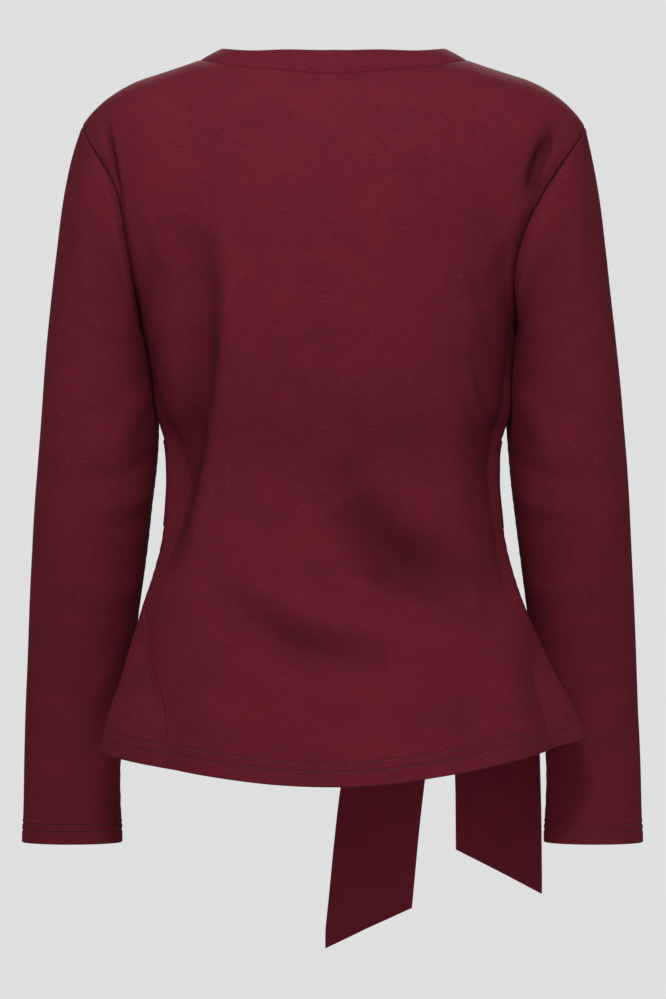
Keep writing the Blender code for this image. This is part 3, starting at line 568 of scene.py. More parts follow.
def crown_roundness(x, face):
    """How sharply the back or front falls away from the crown."""
    return CROWN.round_back(x) if face > 0 else CROWN.round_front(x)


def top_edge(across, face, full_depth):
    """The neckline out to the neck corner, then the shoulder seam: their x and z; across runs from 0 to 1."""
    turn = np.clip(across / NECK_SHARE, 0, 1) * math.pi / 2
    outward = np.clip((across - NECK_SHARE) / (1 - NECK_SHARE), 0, 1)
    x = NECK_HALF_WIDTH * np.sin(turn) + (SHOULDER_TIP[0] - NECK_HALF_WIDTH) * outward
    depth = NECK_BACK_DEPTH if face > 0 else NECK_FRONT_DEPTH
    y = depth * np.cos(turn) ** (NECK_BACK_ROUNDNESS if face > 0 else NECK_FRONT_ROUNDNESS)
    depth_here = full_depth * (1 - (x / SHOULDER_TIP[0]) ** YOKE_TURN_POWER)
    fallen = np.where(outward > 0, 0.0, y / np.maximum(depth_here, 1e-6))
    climbed = (1 - fallen**2) ** (1 / crown_roundness(x, face))
    return x, UNDERARM_HEIGHT + (CROWN.height(x) - UNDERARM_HEIGHT) * climbed


def upper_panel(face):
    """The panel from the underarms to the shoulder seams and the neckline."""
    across, up = np.meshgrid(ACROSS, YOKE_UP)
    side, out = np.sign(across), np.abs(across)
    low = body_point(seam_to_seam(across, UNDERARM_HEIGHT, face), UNDERARM_HEIGHT)
    low_x, full_depth = np.abs(low[..., 0]), np.abs(low[..., 1]).max()
    top_x, top_z = top_edge(out, face, full_depth)
    centre_z = top_edge(np.zeros(1), face, full_depth)[1]

    armhole_z = UNDERARM_HEIGHT + (SHOULDER_TIP[1] - UNDERARM_HEIGHT) * (1 - np.cos(up * math.pi)) / 2
    armhole_x = np.where(across > 0, ARMHOLE.left(armhole_z), ARMHOLE.right(armhole_z))
    armhole_y = ARMHOLE_HALF_DEPTH * np.sin(up * math.pi)

    underarm_x = np.where(across > 0, low_x[0, -1], low_x[0, 0])
    straight_x = underarm_x + (SHOULDER_TIP[0] - underarm_x) * up
    x = low_x + (top_x - low_x) * up + out * (armhole_x - straight_x)
    rise = 1 - (1 - up) ** YOKE_RISE_POWER
    z = (1 - out) * (UNDERARM_HEIGHT + (centre_z - UNDERARM_HEIGHT) * rise) + out * armhole_z
    z = z + ease(up) * (top_z - (1 - out) * centre_z - out * SHOULDER_TIP[1])

    climbed = np.clip((z - UNDERARM_HEIGHT) / (CROWN.height(x) - UNDERARM_HEIGHT), 0, 1)
    middle_y = full_depth * np.sqrt(np.maximum(1 - climbed ** crown_roundness(x, face), 0))
    power = BODY_SQUARENESS
    side_x = armhole_x / (1 - (armhole_y / full_depth) ** power) ** (1 / power)
    as_below = middle_y * np.maximum(1 - (x / side_x) ** power, 0) ** (1 / power)
    share = np.clip(x / armhole_x, 0, 1)
    as_armhole = middle_y - (middle_y - armhole_y) * share**YOKE_TURN_POWER
    y = as_below + (as_armhole - as_below) * ease(up / YOKE_CHANGE)
    return points(side * x, face * y, z)


def fold_relief(u, v, folds):
    """How far the folds lift a sheet at places given by two coordinates."""
    lift = np.zeros(u.shape)
    flat = np.stack([u, v], axis=-1)
    for fold in folds:
        value = dict(zip(FOLD_COLUMNS.split(), fold))
        f = np.linspace(0, 1, FOLD_STEPS + 1)[:, None]
        start = np.array([value["start_x"], value["start_z"]])
        middle = np.array([value["middle_x"], value["middle_z"]])
        end = np.array([value["end_x"], value["end_z"]])
        line = start * (1 - f) * (1 - 2 * f) + middle * 4 * f * (1 - f) + end * f * (2 * f - 1)
        distance = np.full(u.shape, np.inf)
        reached = np.zeros(u.shape)
        for k in range(FOLD_STEPS):
            step = line[k + 1] - line[k]
            share = np.clip(((flat - line[k]) @ step) / (step @ step), 0, 1)
            away = np.linalg.norm(flat - line[k] - share[..., None] * step, axis=-1)
            reached = np.where(away < distance, (k + share) / FOLD_STEPS, reached)
            distance = np.minimum(away, distance)
        taper = np.sin(math.pi * (FOLD_END + (1 - 2 * FOLD_END) * reached))
        lift = lift + value["height"] * taper * bell(distance / value["half_width"])
    return lift


def outward_normals(outer, sign):
    """The normals of a sheet of points, from the points beside each."""
    across = np.gradient(outer, axis=1)
    along = np.gradient(outer, axis=0)
    return unit(sign * np.cross(across, along))


def ring_normals(outer, sign):
    """The normals of a tube of points, whose last column is its first."""
    around = np.concatenate([outer[:, -2:-1], outer, outer[:, 1:2]], axis=1)
    return outward_normals(around, sign)[:, 1:-1]


def seam_relief(away, along):
    """The groove at a seam and the puckers beside it, by the distance from it and the way along it."""
    waves = np.sin(2 * math.pi * along / PUCKER_LENGTH + 1.5 * np.sin(along * PUCKER_DRIFT))
    groove = bell(away / SEAM_REACH)
    return PUCKER_HEIGHT * waves * bell(away / PUCKER_REACH) * (1 - groove) - SEAM_DIP * groove


def turned_up(away):
    """1 where a hem or cuff is turned up and 0 above that, by the distance from its edge."""
    return 1 - ease((away - HEM_LAYER_END) / HEM_LAYER_FADE)


def edge_drop(away, radius):
    """How far the cloth drops at a rounded edge, by the distance from it."""
    short = np.clip(radius - away, 0, radius)
    return radius - np.sqrt(radius**2 - short**2)


def hem_relief(away, along, rows):
    """A turned hem: its second layer, rounded edge, two sunk rows of stitches and the puckers between them."""
    middle = (rows[0] + rows[1]) / 2
    lift = HEM_LIFT * turned_up(away)
    for row in rows:
        lift = lift - ROW_DIP * bell((away - row) / ROW_REACH)
    turns = along / HEM_PUCKER_LENGTH + away / HEM_PUCKER_SLANT
    waves = np.sin(2 * math.pi * turns + 2 * np.sin(along * HEM_PUCKER_DRIFT))
    lift = lift + HEM_PUCKER_HEIGHT * waves * bell((away - middle) / HEM_PUCKER_REACH)
    return lift - edge_drop(away, EDGE_ROUND)


def armhole_fold(away, seam):
    """How far the cloth rolls in beside the lower part of an armhole seam, towards the middle of the body."""
    sunk = ease((ARMHOLE_FOLD_TOP - seam[..., 2]) / ARMHOLE_FOLD_RUN)
    sunk = sunk * np.clip(np.abs(seam[..., 1]) / ARMHOLE_FOLD_SIDE, 0, 1)
    return -np.sign(seam[..., 1]) * ARMHOLE_FOLD_DEPTH * sunk * bell(away / ARMHOLE_FOLD_REACH)


def darkest(*painted_shades):
    """The darkest of several painted shades at each point."""
    return np.maximum.reduce(np.broadcast_arrays(*painted_shades))


def row_painted_shade(away, rows):
    """How dark the painted shade of a hem or cuff is at its rows of stitches, by the distance from its edge."""
    return darkest(*(ROW_SHADE * bell((away - row) / ROW_SHADE_REACH) for row in rows))


def settle(outer, row, reach, rounds):
    """Evens out a sheet along its columns, round one row and away from its two sides."""
    rows = np.arange(len(outer)) - row
    fade = 1 - ease((np.abs(ACROSS) - UNDERARM_FADE_START) / UNDERARM_FADE_RUN)
    weight = bell(rows / reach)[1:-1, None] * fade
    for _ in range(rounds):
        mean = (outer[:-2] + 2 * outer[1:-1] + outer[2:]) / 4
        outer[1:-1] += (mean - outer[1:-1]) * weight[..., None]


def panel(face, folds, creases):
    """A whole panel: its outer points and normals, its thickness, painted shade and places on the flat cloth."""
    outer = np.concatenate([lower_panel(face)[:-1], upper_panel(face)])
    settle(outer, UNDERARM_ROW, UNDERARM_REACH, UNDERARM_ROUNDS)
    across = lengths(outer, 1)
    from_side = np.minimum(across, across[:, -1:] - across)
    yoke = slice(UNDERARM_ROW, None)
    u, v = cloth_places(outer, outward_normals(outer, -face), UNDERARM_ROW)
    seams = np.where((ACROSS < 0)[:, None], outer[yoke, :1], outer[yoke, -1:])
    outer[yoke, :, 1] += armhole_fold(from_side[yoke], seams)
    normals = outward_normals(outer, -face)
    across, up = lengths(outer, 1), lengths(outer, 0)
    from_side = np.minimum(across, across[:, -1:] - across)
    from_top = up[-1:] - up
    fade = 1 - ease((np.abs(ACROSS) - FOLD_FADE_START) / (1 - FOLD_FADE_START))
    folded = fold_relief(outer[..., 0], outer[..., 2], folds) * fade
    creased = fold_relief(outer[..., 0], outer[..., 2], creases) * ease(from_side / CREASE_FADE)
    uneven = unevenness(across, up, UNEVEN_HEIGHT, UNEVEN_SIZE_BODY)
    above_hem = ease((up - HEM_TURN) / SEAM_FADE)
    relief = folded + creased + uneven * ease(from_side / UNEVEN_FADE) * ease(from_top / UNEVEN_FADE)
    relief = relief + hem_relief(up, across, HEM_ROWS) * ease(from_side / HEM_SIDE_FADE)
    relief = relief + seam_relief(from_side, up) * above_hem + seam_relief(from_top, across) * FAINT_SEAM
    thick = JERSEY_THICK * (1 + turned_up(up))
    # Painted shade: darker along the seams, more so at the armholes than the side seams, along the neckline and
    # shoulders, in deep creases and folds, and at the hem's rows of stitches
    beside = np.where(np.arange(len(up)) < UNDERARM_ROW, SIDE_SEAM_SHADE, ARMHOLE_SEAM_SHADE)[:, None]
    painted_shade = darkest(
        bell(from_side / SEAM_SHADE_REACH) * above_hem * beside,
        bell(from_top / SEAM_SHADE_REACH) * FAINT_SEAM,
        CREASE_SHADE * np.clip(-creased / CREASE_DEEPEST, 0, 1) ** CREASE_SHADE_POWER,
        FOLD_SHADE * np.clip(-folded / FOLD_DEEPEST, 0, 1) ** FOLD_SHADE_POWER,
        row_painted_shade(up, HEM_ROWS),
    )
    outer = outer + normals * relief[..., None]
    normals = outward_normals(outer, -face)
    return SimpleNamespace(outer=outer, normals=normals, thick=thick, painted_shade=painted_shade, u=u, v=v, from_edge=up)


def sleeve(armhole, outermost, innermost, side):
    """A whole sleeve, from its armhole seam to the cuff; side is 1 for the left one and -1 for the right."""
    turns = np.concatenate([math.pi * YOKE_UP, 2 * math.pi - math.pi * YOKE_UP[-2::-1]])
    along, turn = np.meshgrid(SLEEVE_ALONG, turns, indexing="ij")
    reach = -np.cos(turn)
    outside = points(outermost(along), SLEEVE.out_y(along), SLEEVE.out_z(along))
    inside = points(innermost(along), SLEEVE.in_y(along), SLEEVE.in_z(along))
    form = (outside + inside) / 2 + (outside - inside) / 2 * reach[..., None]
    form[..., 1] += SLEEVE.half_y(along) * np.sin(turn)
    fade = (1 - np.clip(along / SLEEVE_HEAD, 0, 1)) ** 2
    form = (form + (armhole - form[0]) * fade[..., None]) * np.array([side, 1, 1])
    down, round_it = lengths(form, 0), lengths(form, 1)
    form[..., 1] += armhole_fold(down, np.broadcast_to(armhole, form.shape))
    normals = ring_normals(form, side)
    from_cuff = down[-1:] - down
    wrapped = np.where(turn > math.pi, turn - 2 * math.pi, turn) * SLEEVE_RADIUS
    fade = ease(along / SLEEVE_FOLD_FADE_TOP) * ease((1 - along) / SLEEVE_FOLD_FADE_CUFF)
    beside = np.minimum(np.abs(wrapped), math.pi * SLEEVE_RADIUS - np.abs(wrapped))
    folded = fold_relief(wrapped, along * SLEEVE_LENGTH, SLEEVE_FOLDS) * ease(beside / SLEEVE_FOLD_FADE_SIDE)
    shifted = wrapped + side * SLEEVE_SHIFT  # so that the two sleeves aren't uneven in the same places
    uneven = unevenness(shifted, along * SLEEVE_LENGTH, UNEVEN_HEIGHT, UNEVEN_SIZE_SLEEVE)
    relief = (folded + uneven) * fade + seam_relief(down, round_it) + hem_relief(from_cuff, round_it, CUFF_ROWS)
    from_seam = np.minimum(round_it, round_it[:, -1:] - round_it)
    along_seam = ease(down / SEAM_FADE) * ease((from_cuff - HEM_TURN) / SEAM_FADE)
    relief = relief + seam_relief(from_seam, down) * along_seam
    thick = JERSEY_THICK * (1 + turned_up(from_cuff))
    outer = form + normals * relief[..., None]
    # Painted shade along the armhole seam, the sleeve's seam and the cuff's rows of stitches
    painted_shade = bell(np.minimum(down, from_seam) / SEAM_SHADE_REACH)
    painted_shade = darkest(painted_shade, row_painted_shade(from_cuff, CUFF_ROWS))
    u, v = sleeve_places(form)
    normals = ring_normals(outer, side)
    return SimpleNamespace(outer=outer, normals=normals, thick=thick, painted_shade=painted_shade, u=u, v=v, from_edge=from_cuff)


def neckband(neckline):
    """The neckband, from its seam on the neckline to its folded top edge."""
    centre_y = (NECK_BACK_DEPTH - NECK_FRONT_DEPTH) / 2
    spoke = (neckline - np.array([0.0, centre_y, 0.0])) * np.array([1.0, 1.0, 0.0])
    inward = -unit(spoke)
    facing = np.abs(inward[:, 1:2]) ** NECKBAND_RISE_POWER
    rise = NECKBAND_RISE_AT_SIDE + (NECKBAND_RISE_AT_CENTRE - NECKBAND_RISE_AT_SIDE) * facing
    reach = np.sqrt(NECKBAND_WIDTH**2 - rise**2)
    step = inward * reach + np.array([0.0, 0.0, 1.0]) * rise
    form = neckline + step * BAND_UP[:, None, None]
    normals = ring_normals(form, -1)
    up, along = lengths(form, 0), lengths(form, 1)
    from_top = up[-1:] - up
    relief = NECKBAND_FULLNESS * np.sin(math.pi * BAND_UP)[:, None] + seam_relief(up, along) * FAINT_SEAM
    relief = relief - edge_drop(from_top, NECKBAND_EDGE_ROUND)
    outer = form + normals * relief[..., None]
    thick = np.full(up.shape, BAND_THICK)
    # Painted shade along the neckband's seam, in broken patches
    broken = 1 + np.sin(along * BAND_SHADE_BREAK_RATE) * np.sin(along * BAND_SHADE_PATCH_RATE) ** 2
    painted_shade = bell(up / BAND_SHADE_REACH) * BAND_SHADE * broken
    normals = ring_normals(outer, -1)
    return SimpleNamespace(outer=outer, normals=normals, thick=thick, painted_shade=painted_shade, u=along, v=up)


def tie_band(span, columns):
    """A tie from its side seam to the knot, on the front panel moved out and gathered towards the knot."""
    first_angle, last_angle = span
    f, up = np.meshgrid(np.linspace(0, 1, columns + 1), TIE_UP)
    narrowing = ease((f - TIE_FLAT_SHARE) / (1 - TIE_FLAT_SHARE))
    half = TIE_WIDTH / 2 * (1 - narrowing) + TIE_HALF_WIDTH_AT_KNOT * narrowing
    middle = TIE_SEAM_HEIGHT + (KNOT_HEIGHT - TIE_SEAM_HEIGHT) * ease(f)
    height = middle + half * up
    angle = first_angle + (last_angle - first_angle) * f
    places = body_point(angle, height)
    sign = 1 if last_angle < first_angle else -1
    normals = outward_normals(places, -sign)
    gather = GATHER_HEIGHT * narrowing * (1 + np.cos(up * GATHER_PLEATS * math.pi)) / 2
    pleats = TIE_PLEATS_FINE * narrowing * np.sin(up * 11 + 2.2 * f)
    pleats = pleats + TIE_PLEATS_BROAD * ease(f * 2) * np.sin(up * 6.5 - 3 * f)
    relief = np.maximum(fold_relief(places[..., 0], places[..., 2], FRONT_FOLDS), 0)
    sewn_in = ease(lengths(places, 1) / TIE_SEWN_IN)
    thick = TIE_THICK * (1 - TIE_SEWN_THINNING * (1 - sewn_in))
    lift = thick + (TIE_CLEARANCE + gather + relief + np.maximum(pleats, TIE_PLEATS_DEEPEST)) * sewn_in
    outer = places + normals * lift[..., None]
    u, v, normals = lengths(outer, 0), lengths(outer, 1), outward_normals(outer, -sign)
    # Painted shade where the tie is sewn into the side seam
    painted_shade = bell(v / BAND_SHADE_REACH)
    return SimpleNamespace(outer=outer, normals=normals, thick=thick, painted_shade=painted_shade, u=u, v=v)


def front_depth(x, height):
    """How far the front panel lies in front of the middle, at a place across and a height."""
    half_width = np.where(x > 0, BODY.left(height), BODY.right(height))
    share = np.minimum(np.abs(x) / half_width, 1.0)
    return BODY.front(height) * (1 - share**BODY_SQUARENESS) ** (1 / BODY_SQUARENESS)


def tie_tail(form, tip, corner, tip_side, tilt):
    """A hanging tie end: held clear of the front panel, then straight down past the hem."""
    across, down = np.meshgrid(TAIL_ACROSS, TAIL_DOWN)
    end = (tip + corner) / 2 + (tip - corner) / 2 * across * tip_side
    level = TAIL_TOP + ((tip + corner) / 2 - TAIL_TOP) * down
    height = TAIL_TOP + (end - TAIL_TOP) * down
    middle, half = form.middle(height), form.half_width(level)
    x = middle + half * across
    panel_height = np.maximum(height, HEM_FRONT)
    clear = front_depth(x, panel_height) + tilt * (x - middle)
    middle_depth = clear.max(axis=1, keepdims=True) + TAIL_CLEARANCE
    gathered = 1 - ease(down / TAIL_GATHER_SHARE)
    gather = GATHER_HEIGHT * gathered * (1 - np.cos(across * 2 * math.pi)) / 2
    pleats = TAIL_PLEATS_FINE * gathered * np.sin(across * 9 + 1.2)
    pleats = pleats + TAIL_PLEATS_BROAD * np.sin(across * 3 + down * 9)
    depth = middle_depth - tilt * (x - middle) + TIE_THICK + gather + pleats + fold_relief(x, height, TAIL_FOLDS)
    outer = points(x, -depth, height)
    thick, painted_shade = np.full(x.shape, TIE_THICK), np.zeros(x.shape)
    u, v, normals = lengths(outer, 1), lengths(outer, 0), outward_normals(outer, -1)
    return SimpleNamespace(outer=outer, normals=normals, thick=thick, painted_shade=painted_shade, u=u, v=v)


def tuck(sheet, axis, last, reach=SEAM_TUCK):
    """Carries an edge of a sheet on, a little under the piece that it is sewn to."""
    edge, beside = (-1, -2) if last else (0, 1)
    at, before = (np.take(sheet.outer, [k], axis) for k in (edge, beside))
    extra = at + unit(at - before) * reach - np.take(sheet.normals, [edge], axis) * SEAM_DROP
    for name in ("outer", "normals", "thick", "painted_shade", "u", "v"):
        old = getattr(sheet, name)
        new = extra if name == "outer" else np.take(old, [edge], axis)
        setattr(sheet, name, np.concatenate([old, new] if last else [new, old], axis))


def linear(hex_colour):
    """A colour's linear red, green, blue and alpha from its sRGB hex value."""
    channels = [int(hex_colour[i : i + 2], 16) / 255 for i in (1, 3, 5)]
    return tuple(c / 12.92 if c <= 0.04045 else ((c + 0.055) / 1.055) ** 2.4 for c in channels) + (1.0,)


def add_node(tree, kind, values=None, links=None, **settings):
    """Adds a node with its settings, the values of its sockets and what is linked to them."""
    item = tree.nodes.new(kind)
    for name, value in settings.items():
        setattr(item, name, value)
    for socket, value in (values or {}).items():
        item.inputs[socket].default_value = value
    for socket, source in (links or {}).items():
        tree.links.new(source, item.inputs[socket])
    return item


# Real sizes, in metres, of the dye's clouds, the slubs and the distance between two wales as it is drawn
CLOUD_SIZE = (0.040, 0.028)
SLUB_SIZE = (0.0080, 0.0010)
WALE_PITCH = 0.0013
# At this scale the wave texture has one band in each unit of its vector
ONE_BAND = 0.314


def ponte_jersey(name, ground, cloud, dark, light):
    """Ponte jersey: a firm double knit, dyed in the piece; matt and smooth, with a few faint slubs.

    Its wales are about 0.6 mm apart, too fine to show, so they are drawn 1.3 mm apart. The slubs are drawn
    larger too, as the ones that show in the photograph.
    """
    material = bpy.data.materials.new(name)
    material.use_nodes = True
    tree = material.node_tree
    shader = tree.nodes["Principled BSDF"]
    shader.inputs["Roughness"].default_value = 0.88
    shader.inputs["Specular IOR Level"].default_value = 0.02
    shader.inputs["Sheen Weight"].default_value = 0.01
    shader.inputs["Sheen Roughness"].default_value = 0.5
    shader.inputs["Sheen Tint"].default_value = linear("#A05560")
    cloth = add_node(tree, "ShaderNodeUVMap", uv_map="cloth").outputs["UV"]

    # The dye lies a little unevenly, in clouds of about 40 mm along the courses and 28 mm along the wales
    cloud_scale = (1 / CLOUD_SIZE[0], 1 / CLOUD_SIZE[1], 1)
    cloud_place = add_node(tree, "ShaderNodeMapping", {"Scale": cloud_scale}, {"Vector": cloth})
    clouds = add_node(
        tree, "ShaderNodeTexNoise", {"Scale": 1.0, "Detail": 3.0}, {"Vector": cloud_place.outputs["Vector"]}
    )
    dyed = add_node(tree, "ShaderNodeValToRGB", links={"Fac": clouds.outputs["Fac"]})
    dyed.color_ramp.elements[0].position, dyed.color_ramp.elements[1].position = 0.36, 0.66
    dyed.color_ramp.elements[0].color, dyed.color_ramp.elements[1].color = linear(cloud), linear(ground)
    colour = dyed.outputs["Color"]

    # Slubs: thicker bits of yarn along the courses, about 8 mm long and 1 mm high, some dark and some light
    slub_scale = (1 / SLUB_SIZE[0], 1 / SLUB_SIZE[1], 1)
    slubs = []
    for shift, tone, strength in ((0.0, dark, 0.50), (37.3, light, 0.30)):
        place = add_node(
            tree, "ShaderNodeMapping", {"Scale": slub_scale, "Location": (shift, shift, 0)}, {"Vector": cloth}
        )
        noise = add_node(
            tree, "ShaderNodeTexNoise", {"Scale": 1.0, "Detail": 2.0, "Roughness": 0.55},
            {"Vector": place.outputs["Vector"]},
        )
        share = add_node(
            tree, "ShaderNodeMapRange", {"From Min": 0.59, "From Max": 0.72, "To Max": strength},
            {"Value": noise.outputs["Fac"]},
        )
        mix = add_node(
            tree, "ShaderNodeMix", {7: linear(tone)}, {0: share.outputs["Result"], 6: colour}, data_type="RGBA"
        )
        colour = mix.outputs[2]
        slubs.append(share.outputs["Result"])

    # Seams, rows of stitches and deep folds draw the cloth in, and less light gets down into them; their shade is
    # painted into the colour here, darkening it towards a near black
    painted_shade = add_node(tree, "ShaderNodeAttribute", attribute_name="painted_shade")
    sunk = add_node(tree, "ShaderNodeMath", {1: 0.75}, {0: painted_shade.outputs["Fac"]}, operation="MULTIPLY")
    shaded = add_node(
        tree, "ShaderNodeMix", {7: linear("#1E070C")}, {0: sunk.outputs["Value"], 6: colour}, data_type="RGBA"
    )
    tree.links.new(shaded.outputs[2], shader.inputs["Base Color"])

    # The knit's relief: wales, and the light slubs standing up a little
    wale_scale = (1 / WALE_PITCH, 1 / WALE_PITCH, 1)
    wale_place = add_node(tree, "ShaderNodeMapping", {"Scale": wale_scale}, {"Vector": cloth})
    wales = add_node(
        tree, "ShaderNodeTexWave", {"Scale": ONE_BAND, "Distortion": 1.2, "Detail": 2.0, "Detail Scale": 1.0},
        {"Vector": wale_place.outputs["Vector"]}, wave_type="BANDS", bands_direction="X",
    )
    knit = add_node(
        tree, "ShaderNodeBump", {"Strength": 0.12, "Distance": 0.0002}, {"Height": wales.outputs["Fac"]}
    )
    relief = add_node(
        tree, "ShaderNodeBump", {"Strength": 0.3, "Distance": 0.0003},
        {"Height": slubs[1], "Normal": knit.outputs["Normal"]},
    )
    tree.links.new(relief.outputs["Normal"], shader.inputs["Normal"])
    return material


def spun_thread(name, colour):
    """Spun polyester sewing thread: dyed to match, a little shinier than the cloth, so the rows catch light."""
    material = bpy.data.materials.new(name)
    material.use_nodes = True
    tree = material.node_tree
    shader = tree.nodes["Principled BSDF"]
    shader.inputs["Roughness"].default_value = 0.55
    shader.inputs["Specular IOR Level"].default_value = 0.4
    place = add_node(tree, "ShaderNodeTexCoord")
    strands = add_node(
        tree, "ShaderNodeTexNoise", {"Scale": 2500.0, "Detail": 1.0}, {"Vector": place.outputs["Object"]}
    )
    tone = add_node(tree, "ShaderNodeValToRGB", links={"Fac": strands.outputs["Fac"]})
    tone.color_ramp.elements[0].position = 0.35
    tone.color_ramp.elements[0].color = linear(colour)
    tone.color_ramp.elements[1].position = 0.7
    tone.color_ramp.elements[1].color = linear("#6E2A34")
    tree.links.new(tone.outputs["Color"], shader.inputs["Base Color"])
    return material


def add_piece(name, bm, material):
    """A named piece from a bmesh, riding with the whole part."""
    mesh = bpy.data.meshes.new(name)
    bm.to_mesh(mesh)
    bm.free()
    mesh.materials.append(material)
    mesh.shade_smooth()
    piece = bpy.data.objects.new(name, mesh)
    bpy.context.scene.collection.objects.link(piece)
    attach(piece, "root")
    return piece


def add_cloth(name, sheet, material, ring=False, edge=0.0):
    """A piece of cloth: the sheet's outer points and a layer its thickness below them; edge rounds its rims."""
    rows, columns = sheet.outer.shape[0] - 1, sheet.outer.shape[1] - 1
    bm = bmesh.new()
    bmesh.ops.create_grid(bm, x_segments=columns, y_segments=rows, size=0.5)
    for vert in bm.verts:
        vert.co = (round((vert.co.x + 0.5) * columns), round((vert.co.y + 0.5) * rows), 0)
    raised = bmesh.ops.extrude_face_region(bm, geom=bm.faces[:])["geom"]
    for vert in (item for item in raised if isinstance(item, bmesh.types.BMVert)):
        vert.co.z = 1
    if ring:
        ends = [face for face in bm.faces if face.calc_center_median().x in (0, columns)]
        bmesh.ops.delete(bm, geom=ends, context="FACES")
    cloth_map = bm.loops.layers.uv.new("cloth")
    # Each point carries the painted shade by which the material darkens the colour
    painted_shade = bm.verts.layers.float.new("painted_shade")
    for face in bm.faces:
        for loop in face.loops:
            j, i = int(loop.vert.co.x), int(loop.vert.co.y)
            loop[cloth_map].uv = (sheet.u[i, j], sheet.v[i, j])
    rims = [line for line in bm.edges if line.calc_face_angle(0) > RIM_ANGLE]
    inner = sheet.outer - sheet.normals * sheet.thick[..., None]
    layers = np.stack([sheet.outer, inner])
    for vert in bm.verts:
        j, i, layer = (int(c) for c in vert.co)
        vert[painted_shade] = sheet.painted_shade[i, j]
        vert.co = layers[layer, i, j]
    if ring:
        bmesh.ops.remove_doubles(bm, verts=bm.verts[:], dist=MERGE_DISTANCE)
    bmesh.ops.recalc_face_normals(bm, faces=bm.faces[:])
    if edge:
        bmesh.ops.bevel(
            bm, geom=rims, offset=edge, segments=2, profile=0.5, affect="EDGES", material=-1, clamp_overlap=True
        )
    return add_piece(name, bm, material)


def add_stitches(name, rows, material):
    """Rows of lockstitches: a thread that rises to each stitch and dips into the cloth between two of them."""
    bm = bmesh.new()
    for line, normals in rows:
        run = lengths(line[None], 1)[0]
        count = int(run[-1] / STITCH_PITCH)
        steps = STITCH_STEPS * count
        at = np.linspace(0, run[-1], steps + 1)
        centre, up = (
            np.stack([np.interp(at, run, source[:, k]) for k in range(3)], axis=-1) for source in (line, normals)
        )
        side = unit(np.cross(up, np.gradient(centre, axis=0)))
        rise = np.abs(np.sin(np.linspace(0, count * math.pi, steps + 1)))
        centre = centre - up * (STITCH_DROP * (1 - rise**0.5))[:, None]
        radius = STITCH_WIDTH / 2 * (STITCH_LEAST + (1 - STITCH_LEAST) * rise**0.5)
        radius[0] = radius[-1] = 0
        grid = bmesh.ops.create_grid(bm, x_segments=steps, y_segments=STITCH_SIDES, size=0.5)["verts"]
        for vert in grid:
            i, turn = round((vert.co.x + 0.5) * steps), (vert.co.y + 0.5) * 2 * math.pi
            vert.co = centre[i] + (side[i] * math.cos(turn) + up[i] * math.sin(turn)) * radius[i]
    bmesh.ops.remove_doubles(bm, verts=bm.verts[:], dist=MERGE_DISTANCE)
    bmesh.ops.recalc_face_normals(bm, faces=bm.faces[:])
    return add_piece(name, bm, material)


def stitch_line(sheet, height):
    """The line on a sheet at a height above its hem or cuff, and its normals."""
    line, normals = [], []
    for j, distance in enumerate(sheet.from_edge.T):
        order = np.argsort(distance)
        line.append([np.interp(height, distance[order], sheet.outer[order, j, k]) for k in range(3)])
        normals.append([np.interp(height, distance[order], sheet.normals[order, j, k]) for k in range(3)])
    return np.array(line), unit(np.array(normals))


def add_knot(material):
    """The knot: the tie wrapped once round itself, with the soft pleats of its wrap."""
    bm = bmesh.new()
    bmesh.ops.create_icosphere(bm, subdivisions=6, radius=1.0)
    seat = body_point(np.array([KNOT_ANGLE]), np.array([KNOT_HEIGHT]))[0]
    beside = body_point(np.array([KNOT_ANGLE + 1]), np.array([KNOT_HEIGHT]))[0]
    along = unit(beside - seat)
    out = unit(np.cross(np.array([0.0, 0.0, 1.0]), along))
    out = out if out[1] < 0 else -out
    centre = seat + out * (KNOT_SIZE[1] / 2 + KNOT_CLEARANCE)
    cloth_map = bm.loops.layers.uv.new("cloth")
    for face in bm.faces:
        for loop in face.loops:
            loop[cloth_map].uv = (loop.vert.co.x * KNOT_CLOTH_SIZE, loop.vert.co.z * KNOT_CLOTH_SIZE)
    for vert in bm.verts:
        d = np.array(vert.co)
        square = d * (np.abs(d) ** KNOT_SQUARENESS).sum() ** (-1 / KNOT_SQUARENESS)
        sag = 1 - KNOT_SAG * math.sin(KNOT_LOBES * math.atan2(square[2], square[0]))
        lean = square[0] + KNOT_LEAN * square[2] + KNOT_WAVER * math.sin(2.6 * square[2])
        pleats = KNOT_PLEATS_FINE * math.cos(lean * 10.5) + KNOT_PLEATS_BROAD * math.cos(lean * 4.1 + 1.0)
        pinch = 1 - KNOT_PINCH * math.exp(-((abs(square[0]) - KNOT_PINCH_PLACE) ** 2) / KNOT_PINCH_WIDTH)
        swell = 1 + pleats * (1 - 0.5 * abs(square[2])) - KNOT_SHRINK
        vert.co = (
            centre
            + along * square[0] * KNOT_SIZE[0] / 2 * sag
            + out * square[1] * KNOT_SIZE[1] / 2 * swell * pinch
            + np.array([0.0, 0.0, 1.0]) * square[2] * KNOT_SIZE[2] / 2 * sag * (1 + 0.5 * pleats)
        )
    return add_piece("tie_knot_wrap", bm, material)


def add_light(name, place, aim, size, power, spread=180):
    """A square soft box at a place, aimed at a point; a grid narrows its beam to a spread in degrees."""
    data = bpy.data.lights.new(name, "AREA")
    data.size = size
    data.energy = power
    data.spread = math.radians(spread)
    item = bpy.data.objects.new(name, data)
    item.location = place
    item.rotation_euler = (Vector(aim) - Vector(place)).to_track_quat("-Z", "Y").to_euler()
    bpy.context.scene.collection.objects.link(item)


